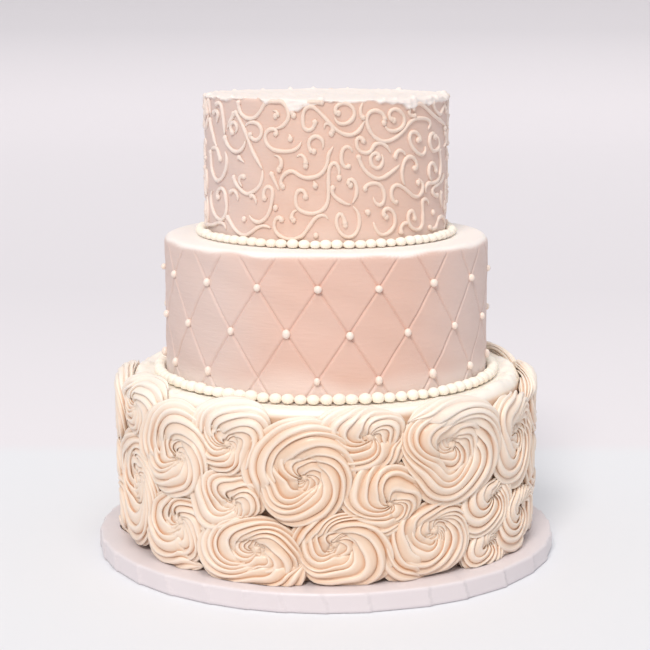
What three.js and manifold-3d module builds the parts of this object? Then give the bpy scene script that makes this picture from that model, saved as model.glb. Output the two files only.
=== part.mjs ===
/*
 * Three-tier wedding cake on its foil-wrapped drum: a bottom tier covered in piped rosettes, a
 * quilted middle tier studded with sugar pearls and a top tier with piped scrolls.
 *
 * Units are millimetres, +Z is up, and the origin is the centre of the drum's underside. An angle
 * round the cake starts at the front (-Y) and grows towards +X. The decoration is made for the
 * front half and repeated by a half turn.
 */
import * as THREE from 'three';
import { mergeVertices } from 'three/addons/utils/BufferGeometryUtils.js';
import Module from 'manifold-3d';

const wasm = await Module();
wasm.setup();

const INCH = 25.4;
const GAP = 0.3; // clearance between pieces that rest on each other
const degrees = THREE.MathUtils.degToRad;

// ---------- driving dimensions ----------
const DRUM = { radius: 6 * INCH, thickness: INCH / 2, edge: 1.5, facets: 48 };
const BOTTOM = { radius: 128.5, base: DRUM.thickness + GAP, top: 118.5, rim: 5, facets: 48 };
const MIDDLE = { radius: 106.3, base: BOTTOM.top + GAP, top: 210, rim: 4.5, facets: 34 };
const TOP = { radius: 78.5, base: MIDDLE.top + GAP, top: 301.4, facets: 36 };

const ROSETTE = {
  thickness: 12.6, // crest of the ridges above the wall
  back: 0.6, // the flat back stands this far off the wall
  ridges: 5,
  ridgeDepth: 1.5, // half the height from groove to crest
  twist: 165, // turn of a ridge from the eye to the edge, degrees
  spread: 1.18, // the ovals grow by this factor until they meet their neighbours
  seam: 0.5, // half the gap between neighbours
  lowest: BOTTOM.base + 0.3,
  highest: BOTTOM.top + 5.5,
};
// The rings of a rosette from the eye to the edge: reach and height as shares of the rosette's
// reach and thickness, and the share of the ridge depth.
const ROSETTE_RINGS = [
  { reach: 0.2, height: 0.86, ridge: 0.5 },
  { reach: 0.45, height: 0.9, ridge: 1 },
  { reach: 0.7, height: 0.84, ridge: 1 },
  { reach: 0.93, height: 0.55, ridge: 0.6 },
];
// Front half of the rosettes: angle, height of the middle, width and height, then the eye's place
// right of and above the middle.
const ROSETTES = [
  [-61, 108, 50, 36, 0, 0],
  [-44, 91, 52, 62, 0, -3],
  [-26, 101, 46, 44, 2, 1],
  [-26, 63, 50, 40, 1, 2],
  [-8.5, 84, 60, 72, 0, -5],
  [10, 104, 54, 38, -2, 0],
  [15, 70, 50, 42, -2, -3],
  [33, 94, 70, 68, -2, 3],
  [61, 87, 48, 64, -5, 6],
  [-64, 56, 60, 68, 2, 2],
  [-43, 38, 60, 46, -1, 5],
  [-19, 34, 64, 44, -2, 1],
  [4, 37, 58, 46, -2, 0],
  [27, 36, 62, 50, -2, 5],
  [47, 52, 42, 36, 0, -1],
  [65, 33, 50, 42, -4, 6],
  [48, 24, 36, 24, 0, 2],
  [88, 98, 62, 50, 0, 0],
  [85, 55, 58, 50, 0, 2],
  [92, 30, 60, 40, 2, 0],
];

const QUILT = {
  columns: 17,
  firstColumn: -2.9, // angle of a pearl in the upper row, degrees
  upperRow: 188.6, // height of the upper row of pearls
  rowGap: 28.2,
  grooveWidth: 1.8,
  grooveDepth: 0.9,
  rows: 3,
};
const BARE_CROSSING = { row: 2, groove: 0 }; // the one crossing without a pearl
// A pearl from where it meets the wall to its tip, as {radius, stand} off the wall.
const PEARL = [
  { radius: 2.1, stand: 0 },
  { radius: 2.3, stand: 1.5 },
  { radius: 0, stand: 3.1 },
];

const BEADS = {
  middle: { count: 88, size: 7.9, height: 6.3 },
  top: { count: 74, size: 7, height: 5.2 },
  waist: 0.62, // width between two beads as a share of their size
  clearance: 0.5, // from the wall of the tier they surround
};

const RIM = { drop: 5, lip: 1.3, peak: 2.6, shoulder: 9 }; // uneven upper edge of the top tier

const SCROLL = {
  width: 2.8,
  height: 1.7,
  sunk: 0.7, // feet below the wall's surface
  longestStep: 14,
  sharpestTurn: 70, // degrees a step
};
// Scrolls this near the front and this long are repeated at the side.
const SIDE_REPEAT = { angle: 24, length: 36 };
// Front half of the large scrolls: angle and height of the first point, its heading in degrees
// from rightward, then the arcs of the stroke, each a length in mm and a turn in degrees.
const SCROLLS = [
  [-8, 283.5, 190, [24, -240], [12, 0], [26, 115]],
  [5.5, 287, 100, [30, -340]],
  [25.3, 287, 60, [14, 180], [19, 115], [14, 35], [9, 5], [14, -45]],
  [-12.5, 273.5, -120, [19, -100], [13, -150]],
  [-6, 269, 120, [14, -200], [4, -5], [18, -85], [8, 10], [12, 80]],
  [11, 234, -40, [24, -150], [14, -200]],
  [-10, 241, 80, [10, 170], [6, 30], [7, 75], [12, 10], [6, 60]],
  [-23.5, 222, -80, [9, 60], [12, 70], [12, 0], [11, -100]],
  [14, 278, -95, [11, 50], [6, 90], [6, 0], [24, -270]],
  [15, 266, -75, [13, 35], [9, 60], [14, 20]],
  [45, 249.5, 110, [12, -190], [27, -170], [9, -10]],
  [46, 277.5, 100, [7, 130], [15, 100], [13, 110]],
  [58, 254, 90, [11, 150], [13, 110], [8, 30]],
  [43.5, 226, 100, [11, 170], [18, 170], [16, 20]],
  [42, 293, 80, [6, -80], [8, -40], [26, 15]],
  [-24, 282, 0, [26, 160], [6, 60]],
  [-44, 291, -63, [39, 3]],
  [-54, 275, -70, [28, 170], [8, 50]],
  [-48, 253, -60, [12, 10], [23, 145]],
  [-55, 225, 0, [6, -40], [10, 15], [18, 45]],
];

// Icing and foil as they look in daylight.
const MATERIALS = {
  blushIcing: new THREE.MeshStandardMaterial({ color: 0xf3d2c4, roughness: 0.55, metalness: 0 }),
  rosetteIcing: new THREE.MeshStandardMaterial({ color: 0xfae3d2, roughness: 0.5, metalness: 0 }),
  creamIcing: new THREE.MeshStandardMaterial({ color: 0xfff6ea, roughness: 0.5, metalness: 0 }),
  foilWrap: new THREE.MeshStandardMaterial({ color: 0xeadfe2, roughness: 0.35, metalness: 0.2 }),
};

// ---------- shared helpers ----------

// A point at an angle (radians) round the cake, a distance from its axis and a height.
function around(angle, radius, height) {
  return [radius * Math.sin(angle), -radius * Math.cos(angle), height];
}

// A repeatable random number generator, giving values from -1 to 1.
function seededRandom(seed) {
  let state = seed;
  return () => {
    state = (Math.imul(state, 1664525) + 1013904223) >>> 0;
    return state / 2 ** 31 - 1;
  };
}

function geometryFrom(points, faces) {
  const geometry = new THREE.BufferGeometry();
  geometry.setAttribute('position', new THREE.Float32BufferAttribute(points.flat(), 3));
  geometry.setIndex(faces.flat());
  return geometry;
}

// Faces of the band between two closed rings of points, the second above the first.
function bandFaces(lower, upper, count) {
  const faces = [];
  for (let step = 0; step < count; step += 1) {
    const next = (step + 1) % count;
    faces.push([lower + step, lower + next, upper + step]);
    faces.push([upper + step, lower + next, upper + next]);
  }
  return faces;
}

// A solid of revolution about +Z from [radius, height] pairs that run up from axis to axis.
function turned(profile, facets) {
  const points = profile.map(([radius, height]) => new THREE.Vector2(radius, height));
  return new THREE.LatheGeometry(points, facets).rotateX(Math.PI / 2);
}

function toSolid(geometry) {
  const bare = geometry.clone();
  bare.deleteAttribute('normal');
  bare.deleteAttribute('uv');
  const merged = mergeVertices(bare, 1e-4);
  return new wasm.Manifold(new wasm.Mesh({
    numProp: 3,
    vertProperties: merged.attributes.position.array,
    triVerts: new Uint32Array(merged.index.array),
  }));
}

function toGeometry(solid) {
  const { vertProperties, triVerts } = solid.getMesh();
  const geometry = new THREE.BufferGeometry();
  geometry.setAttribute('position', new THREE.BufferAttribute(vertProperties, 3));
  geometry.setIndex(new THREE.BufferAttribute(triVerts, 1));
  return geometry;
}

function joined(solids) {
  return solids.reduce((whole, solid) => whole.add(solid));
}

const cake = new THREE.Group();

function addPiece(name, geometry, material) {
  const mesh = new THREE.Mesh(geometry, material);
  mesh.name = name;
  cake.add(mesh);
  return mesh;
}

// ---------- drum and plain tiers ----------

function makeDrum() {
  const { radius, thickness, edge, facets } = DRUM;
  const profile = [
    [0, 0], [radius, 0], [radius, thickness - edge], [radius - edge, thickness], [0, thickness],
  ];
  return turned(profile, facets);
}

// An upright round block whose top edge is rounded by its rim.
function makeTier({ radius, base, top, rim, facets }) {
  const profile = [[0, base], [radius, base]];
  for (const turn of [0, 45, 90].map(degrees)) {
    profile.push([radius - rim * (1 - Math.cos(turn)), top - rim * (1 - Math.sin(turn))]);
  }
  return turned([...profile, [0, top]], facets);
}

// ---------- rosettes ----------

const SPOKES = 2 * ROSETTE.ridges;

function rosetteFrom([angle, middle, width, height, eyeRight, eyeUp]) {
  const [halfWidth, halfHeight] = [width, height].map((size) => ROSETTE.spread * size / 2);
  return { angle, middle, halfWidth, halfHeight, eyeRight, eyeUp };
}

// Reach of a rosette's oval from its middle towards (right, up), a unit direction.
function ovalReach(rosette, right, up) {
  return 1 / Math.hypot(right / rosette.halfWidth, up / rosette.halfHeight);
}

// Shortest way round the wall from one rosette's middle to another's, positive to the right.
function wayRound(from, to) {
  const turn = ((to.angle - from.angle + 540) % 360) - 180;
  return degrees(turn) * BOTTOM.radius;
}

// Straight limits {right, up, distance} that keep a rosette off its neighbours and between the
// drum and the rim.
function rosetteLimits(rosette, others) {
  const limits = [
    { right: 0, up: 1, distance: ROSETTE.highest - rosette.middle },
    { right: 0, up: -1, distance: rosette.middle - ROSETTE.lowest },
  ];
  for (const other of others) {
    const across = wayRound(rosette, other);
    const rise = other.middle - rosette.middle;
    const apart = Math.hypot(across, rise);
    if (apart > 0 && apart < BOTTOM.radius) {
      const [right, up] = [across / apart, rise / apart];
      const own = ovalReach(rosette, right, up);
      const share = own / (own + ovalReach(other, right, up));
      limits.push({ right, up, distance: apart * share - ROSETTE.seam });
    }
  }
  return limits;
}

// Distance from the eye to the rosette's outline towards (right, up).
function outlineReach(rosette, limits, right, up) {
  const { halfWidth, halfHeight, eyeRight, eyeUp } = rosette;
  const a = (right / halfWidth) ** 2 + (up / halfHeight) ** 2;
  const b = right * eyeRight / halfWidth ** 2 + up * eyeUp / halfHeight ** 2;
  const c = (eyeRight / halfWidth) ** 2 + (eyeUp / halfHeight) ** 2 - 1;
  let reach = (Math.sqrt(b * b - a * c) - b) / a;
  for (const limit of limits) {
    const rate = right * limit.right + up * limit.up;
    if (rate > 0) {
      const spare = limit.distance - eyeRight * limit.right - eyeUp * limit.up;
      reach = Math.min(reach, spare / rate);
    }
  }
  return reach;
}

// One rosette wrapped round the wall at the front, its middle at height 0: rings of ridges and
// grooves that spiral out from the eye, and a back that follows the wall.
function makeRosette(rosette, others, random) {
  const limits = rosetteLimits(rosette, others);
  const thickness = ROSETTE.thickness * (1 - 0.05 * Math.abs(random()));
  const points = [];
  const place = (turn, share, stand) => {
    const [right, up] = [Math.cos(turn), Math.sin(turn)];
    const reach = share * outlineReach(rosette, limits, right, up);
    const angle = (rosette.eyeRight + right * reach) / BOTTOM.radius;
    points.push(around(angle, BOTTOM.radius + stand, rosette.eyeUp + up * reach));
  };
  const placeRing = (reach, standOf) => {
    for (let spoke = 0; spoke < SPOKES; spoke += 1) {
      const turn = degrees(ROSETTE.twist) * (reach - 1) + 2 * Math.PI * spoke / SPOKES;
      place(turn, reach, standOf(spoke));
    }
  };
  place(0, 0, 0.8 * thickness);
  for (const { reach, height, ridge } of ROSETTE_RINGS) {
    const depth = ROSETTE.ridgeDepth * ridge;
    placeRing(reach, (spoke) => thickness * height + (spoke % 2 ? -depth : depth));
  }
  placeRing(1, () => ROSETTE.back);
  return geometryFrom(points, [...frontFaces(), ...backFaces()]);
}

// Number of a rosette's point: the eye is 0 and ring 0 is the innermost.
function ringPoint(ring, spoke) {
  return 1 + ring * SPOKES + ((spoke % SPOKES) + SPOKES) % SPOKES;
}

function frontFaces() {
  const faces = [];
  for (let spoke = 0; spoke < SPOKES; spoke += 1) {
    faces.push([0, ringPoint(0, spoke), ringPoint(0, spoke + 1)]);
    for (let ring = 0; ring < ROSETTE_RINGS.length; ring += 1) {
      const [inner, innerNext] = [ringPoint(ring, spoke), ringPoint(ring, spoke + 1)];
      const [outer, outerNext] = [ringPoint(ring + 1, spoke), ringPoint(ring + 1, spoke + 1)];
      faces.push([inner, outer, innerNext], [innerNext, outer, outerNext]);
    }
  }
  return faces;
}

// The last ring starts at the right, so equal steps up and down from there pair its points into
// upright strips, which follow the round wall closely.
function backFaces() {
  const point = (step) => ringPoint(ROSETTE_RINGS.length, step);
  const faces = [[point(0), point(-1), point(1)]];
  for (let step = 1; step < ROSETTE.ridges - 1; step += 1) {
    faces.push([point(step), point(-step), point(step + 1)]);
    faces.push([point(step + 1), point(-step), point(-step - 1)]);
  }
  faces.push([point(ROSETTE.ridges - 1), point(1 - ROSETTE.ridges), point(ROSETTE.ridges)]);
  return faces;
}

function addRosettes() {
  const random = seededRandom(11);
  const front = ROSETTES.map(rosetteFrom);
  const all = [...front, ...front.map((rosette) => ({ ...rosette, angle: rosette.angle + 180 }))];
  front.forEach((rosette, index) => {
    const geometry = makeRosette(rosette, all, random);
    for (const half of [0, 1]) {
      const number = String(index + 1 + half * front.length).padStart(2, '0');
      const mesh = addPiece(`rosette_${number}`, geometry, MATERIALS.rosetteIcing);
      mesh.rotation.z = degrees(rosette.angle + 180 * half);
      mesh.position.z = rosette.middle;
    }
  });
}

// ---------- quilted middle tier ----------

// The quilting is a net of slanting grooves. A point of the wall has the net coordinates
// a = column + row and b = column - row, and a groove runs where one of them is whole. Each groove
// has three net lines: its bottom and its two edges.
function netLine(number) {
  const columnWidth = 2 * Math.PI * MIDDLE.radius / QUILT.columns;
  const netRate = Math.hypot(1 / columnWidth, 1 / (2 * QUILT.rowGap));
  const edge = QUILT.grooveWidth / 2 * netRate;
  return Math.floor(number / 3) + [0, edge, 1 - edge][((number % 3) + 3) % 3];
}

// Where net coordinates lie on the wall: {angle, height}.
function netPlace(a, b) {
  const angle = degrees(QUILT.firstColumn) + Math.PI * (a + b) / QUILT.columns;
  return { angle, height: QUILT.upperRow + QUILT.rowGap * (a - b) };
}

function hasPearl(a, b) {
  const row = b - a;
  const groove = ((b % QUILT.columns) + QUILT.columns) % QUILT.columns;
  const isBare = row === BARE_CROSSING.row && groove === BARE_CROSSING.groove;
  return row >= 0 && row < QUILT.rows && !isBare;
}

// A point of the netted wall. Round a pearl the nearest points are drawn out to the pearl's foot.
function netPoint(a, b) {
  const inGroove = Number.isInteger(a) || Number.isInteger(b);
  const stand = inGroove ? -QUILT.grooveDepth : 0;
  const { angle, height } = netPlace(a, b);
  const crossing = netPlace(Math.round(a), Math.round(b));
  const across = (angle - crossing.angle) * MIDDLE.radius;
  const up = height - crossing.height;
  const away = Math.hypot(across, up);
  if (away > 0 && away < PEARL[0].radius && hasPearl(Math.round(a), Math.round(b))) {
    const draw = PEARL[0].radius / away;
    const drawnAngle = crossing.angle + across * draw / MIDDLE.radius;
    return around(drawnAngle, MIDDLE.radius + stand, crossing.height + up * draw);
  }
  return around(angle, MIDDLE.radius + stand, height);
}

// The netted wall, made taller than the tier and closed by a fan at each end. Line b of the net
// holds a column of points, and row r of it lies on line a = b + LOWEST_LINE + r.
const LOWEST_LINE = -12;
const HIGHEST_LINE = 4;
const NET_LINES = 3 * QUILT.columns;
const NET_ROWS = HIGHEST_LINE - LOWEST_LINE + 1;

function netIndex(bLine, aLine) {
  const wrapped = (bLine + NET_LINES) % NET_LINES;
  return wrapped * NET_ROWS + aLine - bLine - LOWEST_LINE;
}

function makeNettedWall() {
  const points = [];
  const faces = [];
  for (let bLine = 0; bLine < NET_LINES; bLine += 1) {
    for (let aLine = bLine + LOWEST_LINE; aLine <= bLine + HIGHEST_LINE; aLine += 1) {
      points.push(netPoint(netLine(aLine), netLine(bLine)));
    }
  }
  const baseMiddle = points.push([0, 0, MIDDLE.base - QUILT.rowGap]) - 1;
  const topMiddle = points.push([0, 0, MIDDLE.top + QUILT.rowGap]) - 1;
  for (let bLine = 0; bLine < NET_LINES; bLine += 1) {
    const [lowest, highest] = [bLine + LOWEST_LINE, bLine + HIGHEST_LINE];
    for (let aLine = lowest + 1; aLine < highest; aLine += 1) {
      if (!isUnderPearl(aLine, bLine)) {
        faces.push(...netSquare(aLine, bLine));
      }
    }
    const [foot, nextFoot] = [netIndex(bLine, lowest + 1), netIndex(bLine + 1, lowest + 2)];
    const footTip = netIndex(bLine + 1, lowest + 1);
    const [head, headDip] = [netIndex(bLine, highest), netIndex(bLine + 1, highest)];
    const nextHead = netIndex(bLine + 1, highest + 1);
    faces.push([baseMiddle, footTip, foot], [baseMiddle, nextFoot, footTip]);
    faces.push([topMiddle, head, headDip], [topMiddle, headDip, nextHead]);
    for (let aLine = lowest; aLine <= highest; aLine += 1) {
      if (aLine % 3 === 0 && bLine % 3 === 0 && hasPearl(aLine / 3, bLine / 3)) {
        faces.push(...pearlFaces(points, aLine, bLine));
      }
    }
  }
  return toSolid(geometryFrom(points, faces));
}

// The square between two neighbouring a-lines and b-lines, split upright.
function netSquare(aLine, bLine) {
  const [left, top] = [netIndex(bLine, aLine), netIndex(bLine, aLine + 1)];
  const [bottom, right] = [netIndex(bLine + 1, aLine), netIndex(bLine + 1, aLine + 1)];
  return [[left, bottom, top], [top, bottom, right]];
}

// Of each three lines of a groove, the first is its bottom and the third its lower edge.
function isUnderPearl(aLine, bLine) {
  const [aNearest, bNearest] = [aLine, bLine].map((line) => Math.round((line + 0.5) / 3));
  const touches = (line, nearest) => line === 3 * nearest || line === 3 * nearest - 1;
  return touches(aLine, aNearest) && touches(bLine, bNearest) && hasPearl(aNearest, bNearest);
}

// A pearl stands on the eight net points round its crossing and ends in the crossing's own point.
function pearlFaces(points, aLine, bLine) {
  const steps = [[1, 1], [1, 0], [1, -1], [0, -1], [-1, -1], [-1, 0], [-1, 1], [0, 1]];
  const foot = steps.map(([a, b]) => netIndex(bLine + b, aLine + a));
  const crossing = netPlace(aLine / 3, bLine / 3);
  const belly = foot.map((index, step) => {
    const turn = 2 * Math.PI * step / steps.length;
    const angle = crossing.angle + PEARL[1].radius * Math.cos(turn) / MIDDLE.radius;
    const height = crossing.height + PEARL[1].radius * Math.sin(turn);
    return points.push(around(angle, MIDDLE.radius + PEARL[1].stand, height)) - 1;
  });
  const tip = netIndex(bLine, aLine);
  points[tip] = around(crossing.angle, MIDDLE.radius + PEARL[2].stand, crossing.height);
  return foot.flatMap((index, step) => {
    const next = (step + 1) % steps.length;
    return [
      [index, foot[next], belly[step]],
      [belly[step], foot[next], belly[next]],
      [belly[step], belly[next], tip],
    ];
  });
}

// The netted wall is trimmed to the tier's height and sloped rim.
function makeMiddleTier() {
  const { radius, base, top, rim, facets } = MIDDLE;
  const outside = radius + 2 * PEARL[1].radius;
  const profile = [
    [0, base], [outside, base], [outside, top + radius - rim - outside], [radius - rim, top], [0, top],
  ];
  return toGeometry(makeNettedWall().intersect(toSolid(turned(profile, facets))));
}

// ---------- bead borders ----------

// A ring of beads round the foot of a tier: three-sided sections, wide at each bead and narrow
// between two.
function makeBeadBorder(tier, { count, size, height }) {
  const inner = tier.radius + BEADS.clearance;
  const sections = 2 * count;
  const rings = [[], [], []];
  for (let section = 0; section < sections; section += 1) {
    const angle = 2 * Math.PI * section / sections;
    const share = section % 2 ? BEADS.waist : 1;
    rings[0].push(around(angle, inner, tier.base));
    rings[1].push(around(angle, inner + size * share, tier.base));
    rings[2].push(around(angle, inner + size * share / 2, tier.base + height * share));
  }
  const faces = [
    ...bandFaces(0, sections, sections),
    ...bandFaces(sections, 2 * sections, sections),
    ...bandFaces(2 * sections, 0, sections),
  ];
  return geometryFrom(rings.flat(), faces);
}

// ---------- top tier ----------

// The plain wall with an uneven, peaked rim of rough icing.
function makeTopCore() {
  const { radius, base, top, facets } = TOP;
  const random = seededRandom(5);
  const rings = [[], [], [], [], []];
  for (let facet = 0; facet < facets; facet += 1) {
    const angle = 2 * Math.PI * facet / facets;
    const lip = RIM.lip * (1 + 0.6 * random());
    const peak = RIM.peak * Math.abs(random());
    rings[0].push(around(angle, radius, base));
    rings[1].push(around(angle, radius, top - RIM.drop));
    rings[2].push(around(angle, radius + lip, top - RIM.drop / 2 + random()));
    rings[3].push(around(angle, radius - RIM.lip, top + peak));
    rings[4].push(around(angle, radius - RIM.shoulder + random(), top - RIM.lip / 2));
  }
  const faces = [];
  for (let ring = 0; ring < rings.length - 1; ring += 1) {
    faces.push(...bandFaces(ring * facets, (ring + 1) * facets, facets));
  }
  const points = rings.flat();
  const baseMiddle = points.push([0, 0, base]) - 1;
  const topMiddle = points.push([0, 0, top - RIM.lip / 2]) - 1;
  const lastRing = (rings.length - 1) * facets;
  for (let facet = 0; facet < facets; facet += 1) {
    const next = (facet + 1) % facets;
    faces.push([baseMiddle, next, facet], [topMiddle, lastRing + facet, lastRing + next]);
  }
  return toSolid(geometryFrom(points, faces));
}

// Points {across, up, heading} along a stroke: across the wall and up in mm, heading in radians.
function strokePoints([angle, height, heading, ...arcs]) {
  const point = { across: degrees(angle) * TOP.radius, up: height, heading: degrees(heading) };
  const points = [{ ...point }];
  for (const [length, turn] of arcs) {
    const steps = Math.ceil(Math.max(length / SCROLL.longestStep, Math.abs(turn) / SCROLL.sharpestTurn));
    for (let step = 0; step < steps; step += 1) {
      point.heading += degrees(turn) / steps / 2;
      point.across += length / steps * Math.cos(point.heading);
      point.up += length / steps * Math.sin(point.heading);
      point.heading += degrees(turn) / steps / 2;
      points.push({ ...point });
    }
  }
  return points;
}

// A scroll is a ridge of three-sided section whose feet are sunk in the wall.
function makeScroll(stroke) {
  const points = strokePoints(stroke);
  const corners = [];
  for (const { across, up, heading } of points) {
    const [right, rise] = [-Math.sin(heading), Math.cos(heading)];
    for (const [side, stand] of [[0.5, -SCROLL.sunk], [-0.5, -SCROLL.sunk], [0, SCROLL.height]]) {
      const offset = side * SCROLL.width;
      const angle = (across + offset * right) / TOP.radius;
      corners.push(around(angle, TOP.radius + stand, up + offset * rise));
    }
  }
  const faces = [[0, 1, 2]];
  for (let step = 0; step < points.length - 1; step += 1) {
    for (let corner = 0; corner < 3; corner += 1) {
      const [near, nearNext] = [3 * step + corner, 3 * step + (corner + 1) % 3];
      faces.push([near, near + 3, nearNext], [nearNext, near + 3, nearNext + 3]);
    }
  }
  const last = corners.length - 3;
  faces.push([last, last + 2, last + 1]);
  return toSolid(geometryFrom(corners, faces));
}

function isRepeatedAtSide([angle, , , ...arcs]) {
  const length = arcs.reduce((sum, [arcLength]) => sum + arcLength, 0);
  return Math.abs(angle) < SIDE_REPEAT.angle && length >= SIDE_REPEAT.length;
}

function makeTopTier() {
  const front = SCROLLS.map(makeScroll);
  const side = SCROLLS.filter(isRepeatedAtSide)
    .map((stroke) => makeScroll(stroke).rotate([0, 0, 90]));
  const half = joined([...front, ...side]);
  return toGeometry(joined([makeTopCore(), half, half.rotate([0, 0, 180])]));
}

// ---------- the cake ----------

addPiece('cake_drum', makeDrum(), MATERIALS.foilWrap);
addPiece('bottom_tier', makeTier(BOTTOM), MATERIALS.rosetteIcing);
addRosettes();
addPiece('middle_tier', makeMiddleTier(), MATERIALS.blushIcing);
addPiece('middle_bead_border', makeBeadBorder(MIDDLE, BEADS.middle), MATERIALS.creamIcing);
addPiece('top_tier', makeTopTier(), MATERIALS.blushIcing);
addPiece('top_bead_border', makeBeadBorder(TOP, BEADS.top), MATERIALS.creamIcing);

export default cake;
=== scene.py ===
"""Dresses the three-tier wedding cake: piped rosettes, quilted icing with sugar pearls, bead borders,
piped scrolls and a wrapped drum. Lengths are metres, +Z is up, and an angle round the cake starts
at the front (-Y) and grows towards +X."""
import math

import bmesh
import bpy
import numpy as np
from bmesh.types import BMEdge, BMVert
from mathutils import Matrix, Vector, noise


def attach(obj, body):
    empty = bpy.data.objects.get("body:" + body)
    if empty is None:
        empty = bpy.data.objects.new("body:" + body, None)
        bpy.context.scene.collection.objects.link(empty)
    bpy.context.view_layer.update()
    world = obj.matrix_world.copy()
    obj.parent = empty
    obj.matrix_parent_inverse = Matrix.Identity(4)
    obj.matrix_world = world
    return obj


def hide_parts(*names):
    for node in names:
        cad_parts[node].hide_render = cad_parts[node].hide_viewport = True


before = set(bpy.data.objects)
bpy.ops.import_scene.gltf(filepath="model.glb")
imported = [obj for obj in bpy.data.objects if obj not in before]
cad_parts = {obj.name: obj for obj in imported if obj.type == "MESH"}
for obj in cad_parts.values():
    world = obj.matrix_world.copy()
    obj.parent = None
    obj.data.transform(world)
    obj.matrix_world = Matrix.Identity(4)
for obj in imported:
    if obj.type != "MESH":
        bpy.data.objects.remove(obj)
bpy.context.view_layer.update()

bl_info = {
    "name": "Tiered Wedding Cake",
    "version": (1, 0, 0),
    "blender": (4, 5, 0),
    "location": "3D View > Sidebar > Cake",
    "description": "Builds a three-tier wedding cake with piped rosettes, quilting and scrolls",
    "category": "Add Mesh",
}

MM = 0.001
TAU = 2 * math.pi
# Steps round the drum and the two plain tiers, each spun as one sector that is then repeated.
DRUM_STEPS = 720
BOTTOM_STEPS = 360
TOP_STEPS = 620
SECTORS = 20
# Points nearer to each other than this, in metres, are one point.
MERGE_DISTANCE = 1e-6
# First seeds of the rosettes and of the scrolls.
ROSETTE_SEED = 100
SCROLL_SEED = 200
# How strongly a rosette's top leans in over the tier's rim, per metre: 1.6 mm by its edge.
RIM_LEAN = 45
# How deep in a groove the icing of a bud counts for its painted shade and highlight, 0 to 1.
BUD_DEPTH = 0.12
# Sockets of a Mix node for colours: its share, its two colours and its result.
MIX_SHARE, MIX_FIRST, MIX_SECOND, MIX_RESULT = 0, 6, 7, 2
# The camera: its place in mm, how far it looks down and how wide it sees, both in degrees, the
# width of its sensor in mm and half of the width of its frame in picture steps.
CAMERA_PLACE = (-0.7, -1144.5, 352.2)
CAMERA_DIP = 10.12
CAMERA_WIDTH = 21.09
CAMERA_SENSOR = 36
FRAME_MIDDLE = 325.0
# Distance between two rings of points along a scroll.
STROKE_STEP = 1.3 * MM
# The front's strokes are kept up to SCROLLS_END degrees from the front. Those that lie within
# MIDDLE_SCROLLS, and the dots within MIDDLE_DOTS, are piped again at the sides.
SCROLLS_END = 77
MIDDLE_SCROLLS = 19
MIDDLE_DOTS = 17

# Front half of the rosettes, in mm and degrees: angle, height of the middle, width and height,
# the eye's place right of and above the middle, the direction in which the piping ends, and
# which lies over its neighbours (1) or under them (-1).
ROSETTES = [
    (-61, 108, 50, 36, -4, 0, 200, -1),
    (-44, 89, 52, 58, 5, -4, 210, 1),
    (-26, 101, 46, 44, 0, -4, 190, 0),
    (-26, 63, 50, 40, 5, -2, 330, 0),
    (-8.5, 82.5, 60, 67, 7, -3, 212, 1),
    (10, 104, 54, 38, 3, 0, 10, -1),
    (15, 70, 50, 42, 3.5, -8, 320, 0),
    (33, 91, 70, 62, 3, 3, 150, 1),
    (61, 87, 48, 64, 3, 5, 40, 0),
    (-64, 52, 60, 78, 5, 8, 200, -1),
    (-43, 38, 60, 46, 3, 5, 300, -1),
    (-19, 34, 64, 44, 2, -1, 350, 1),
    (4, 37, 58, 46, -4, 1.5, 200, 0),
    (27, 36, 62, 50, 5, 6, 260, -1),
    (47, 52, 42, 36, 5, 4, 60, 0),
    (65, 33, 50, 42, -2, 8, 300, 1),
    (48, 24, 36, 24, 0, 2, 20, -1),
    (88, 97, 66, 50, 4, 3, 180, 0),
    (85, 55, 58, 50, -3, 4, 220, 0),
    (92, 31, 68, 44, 5, 0, 320, -1),
]

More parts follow.
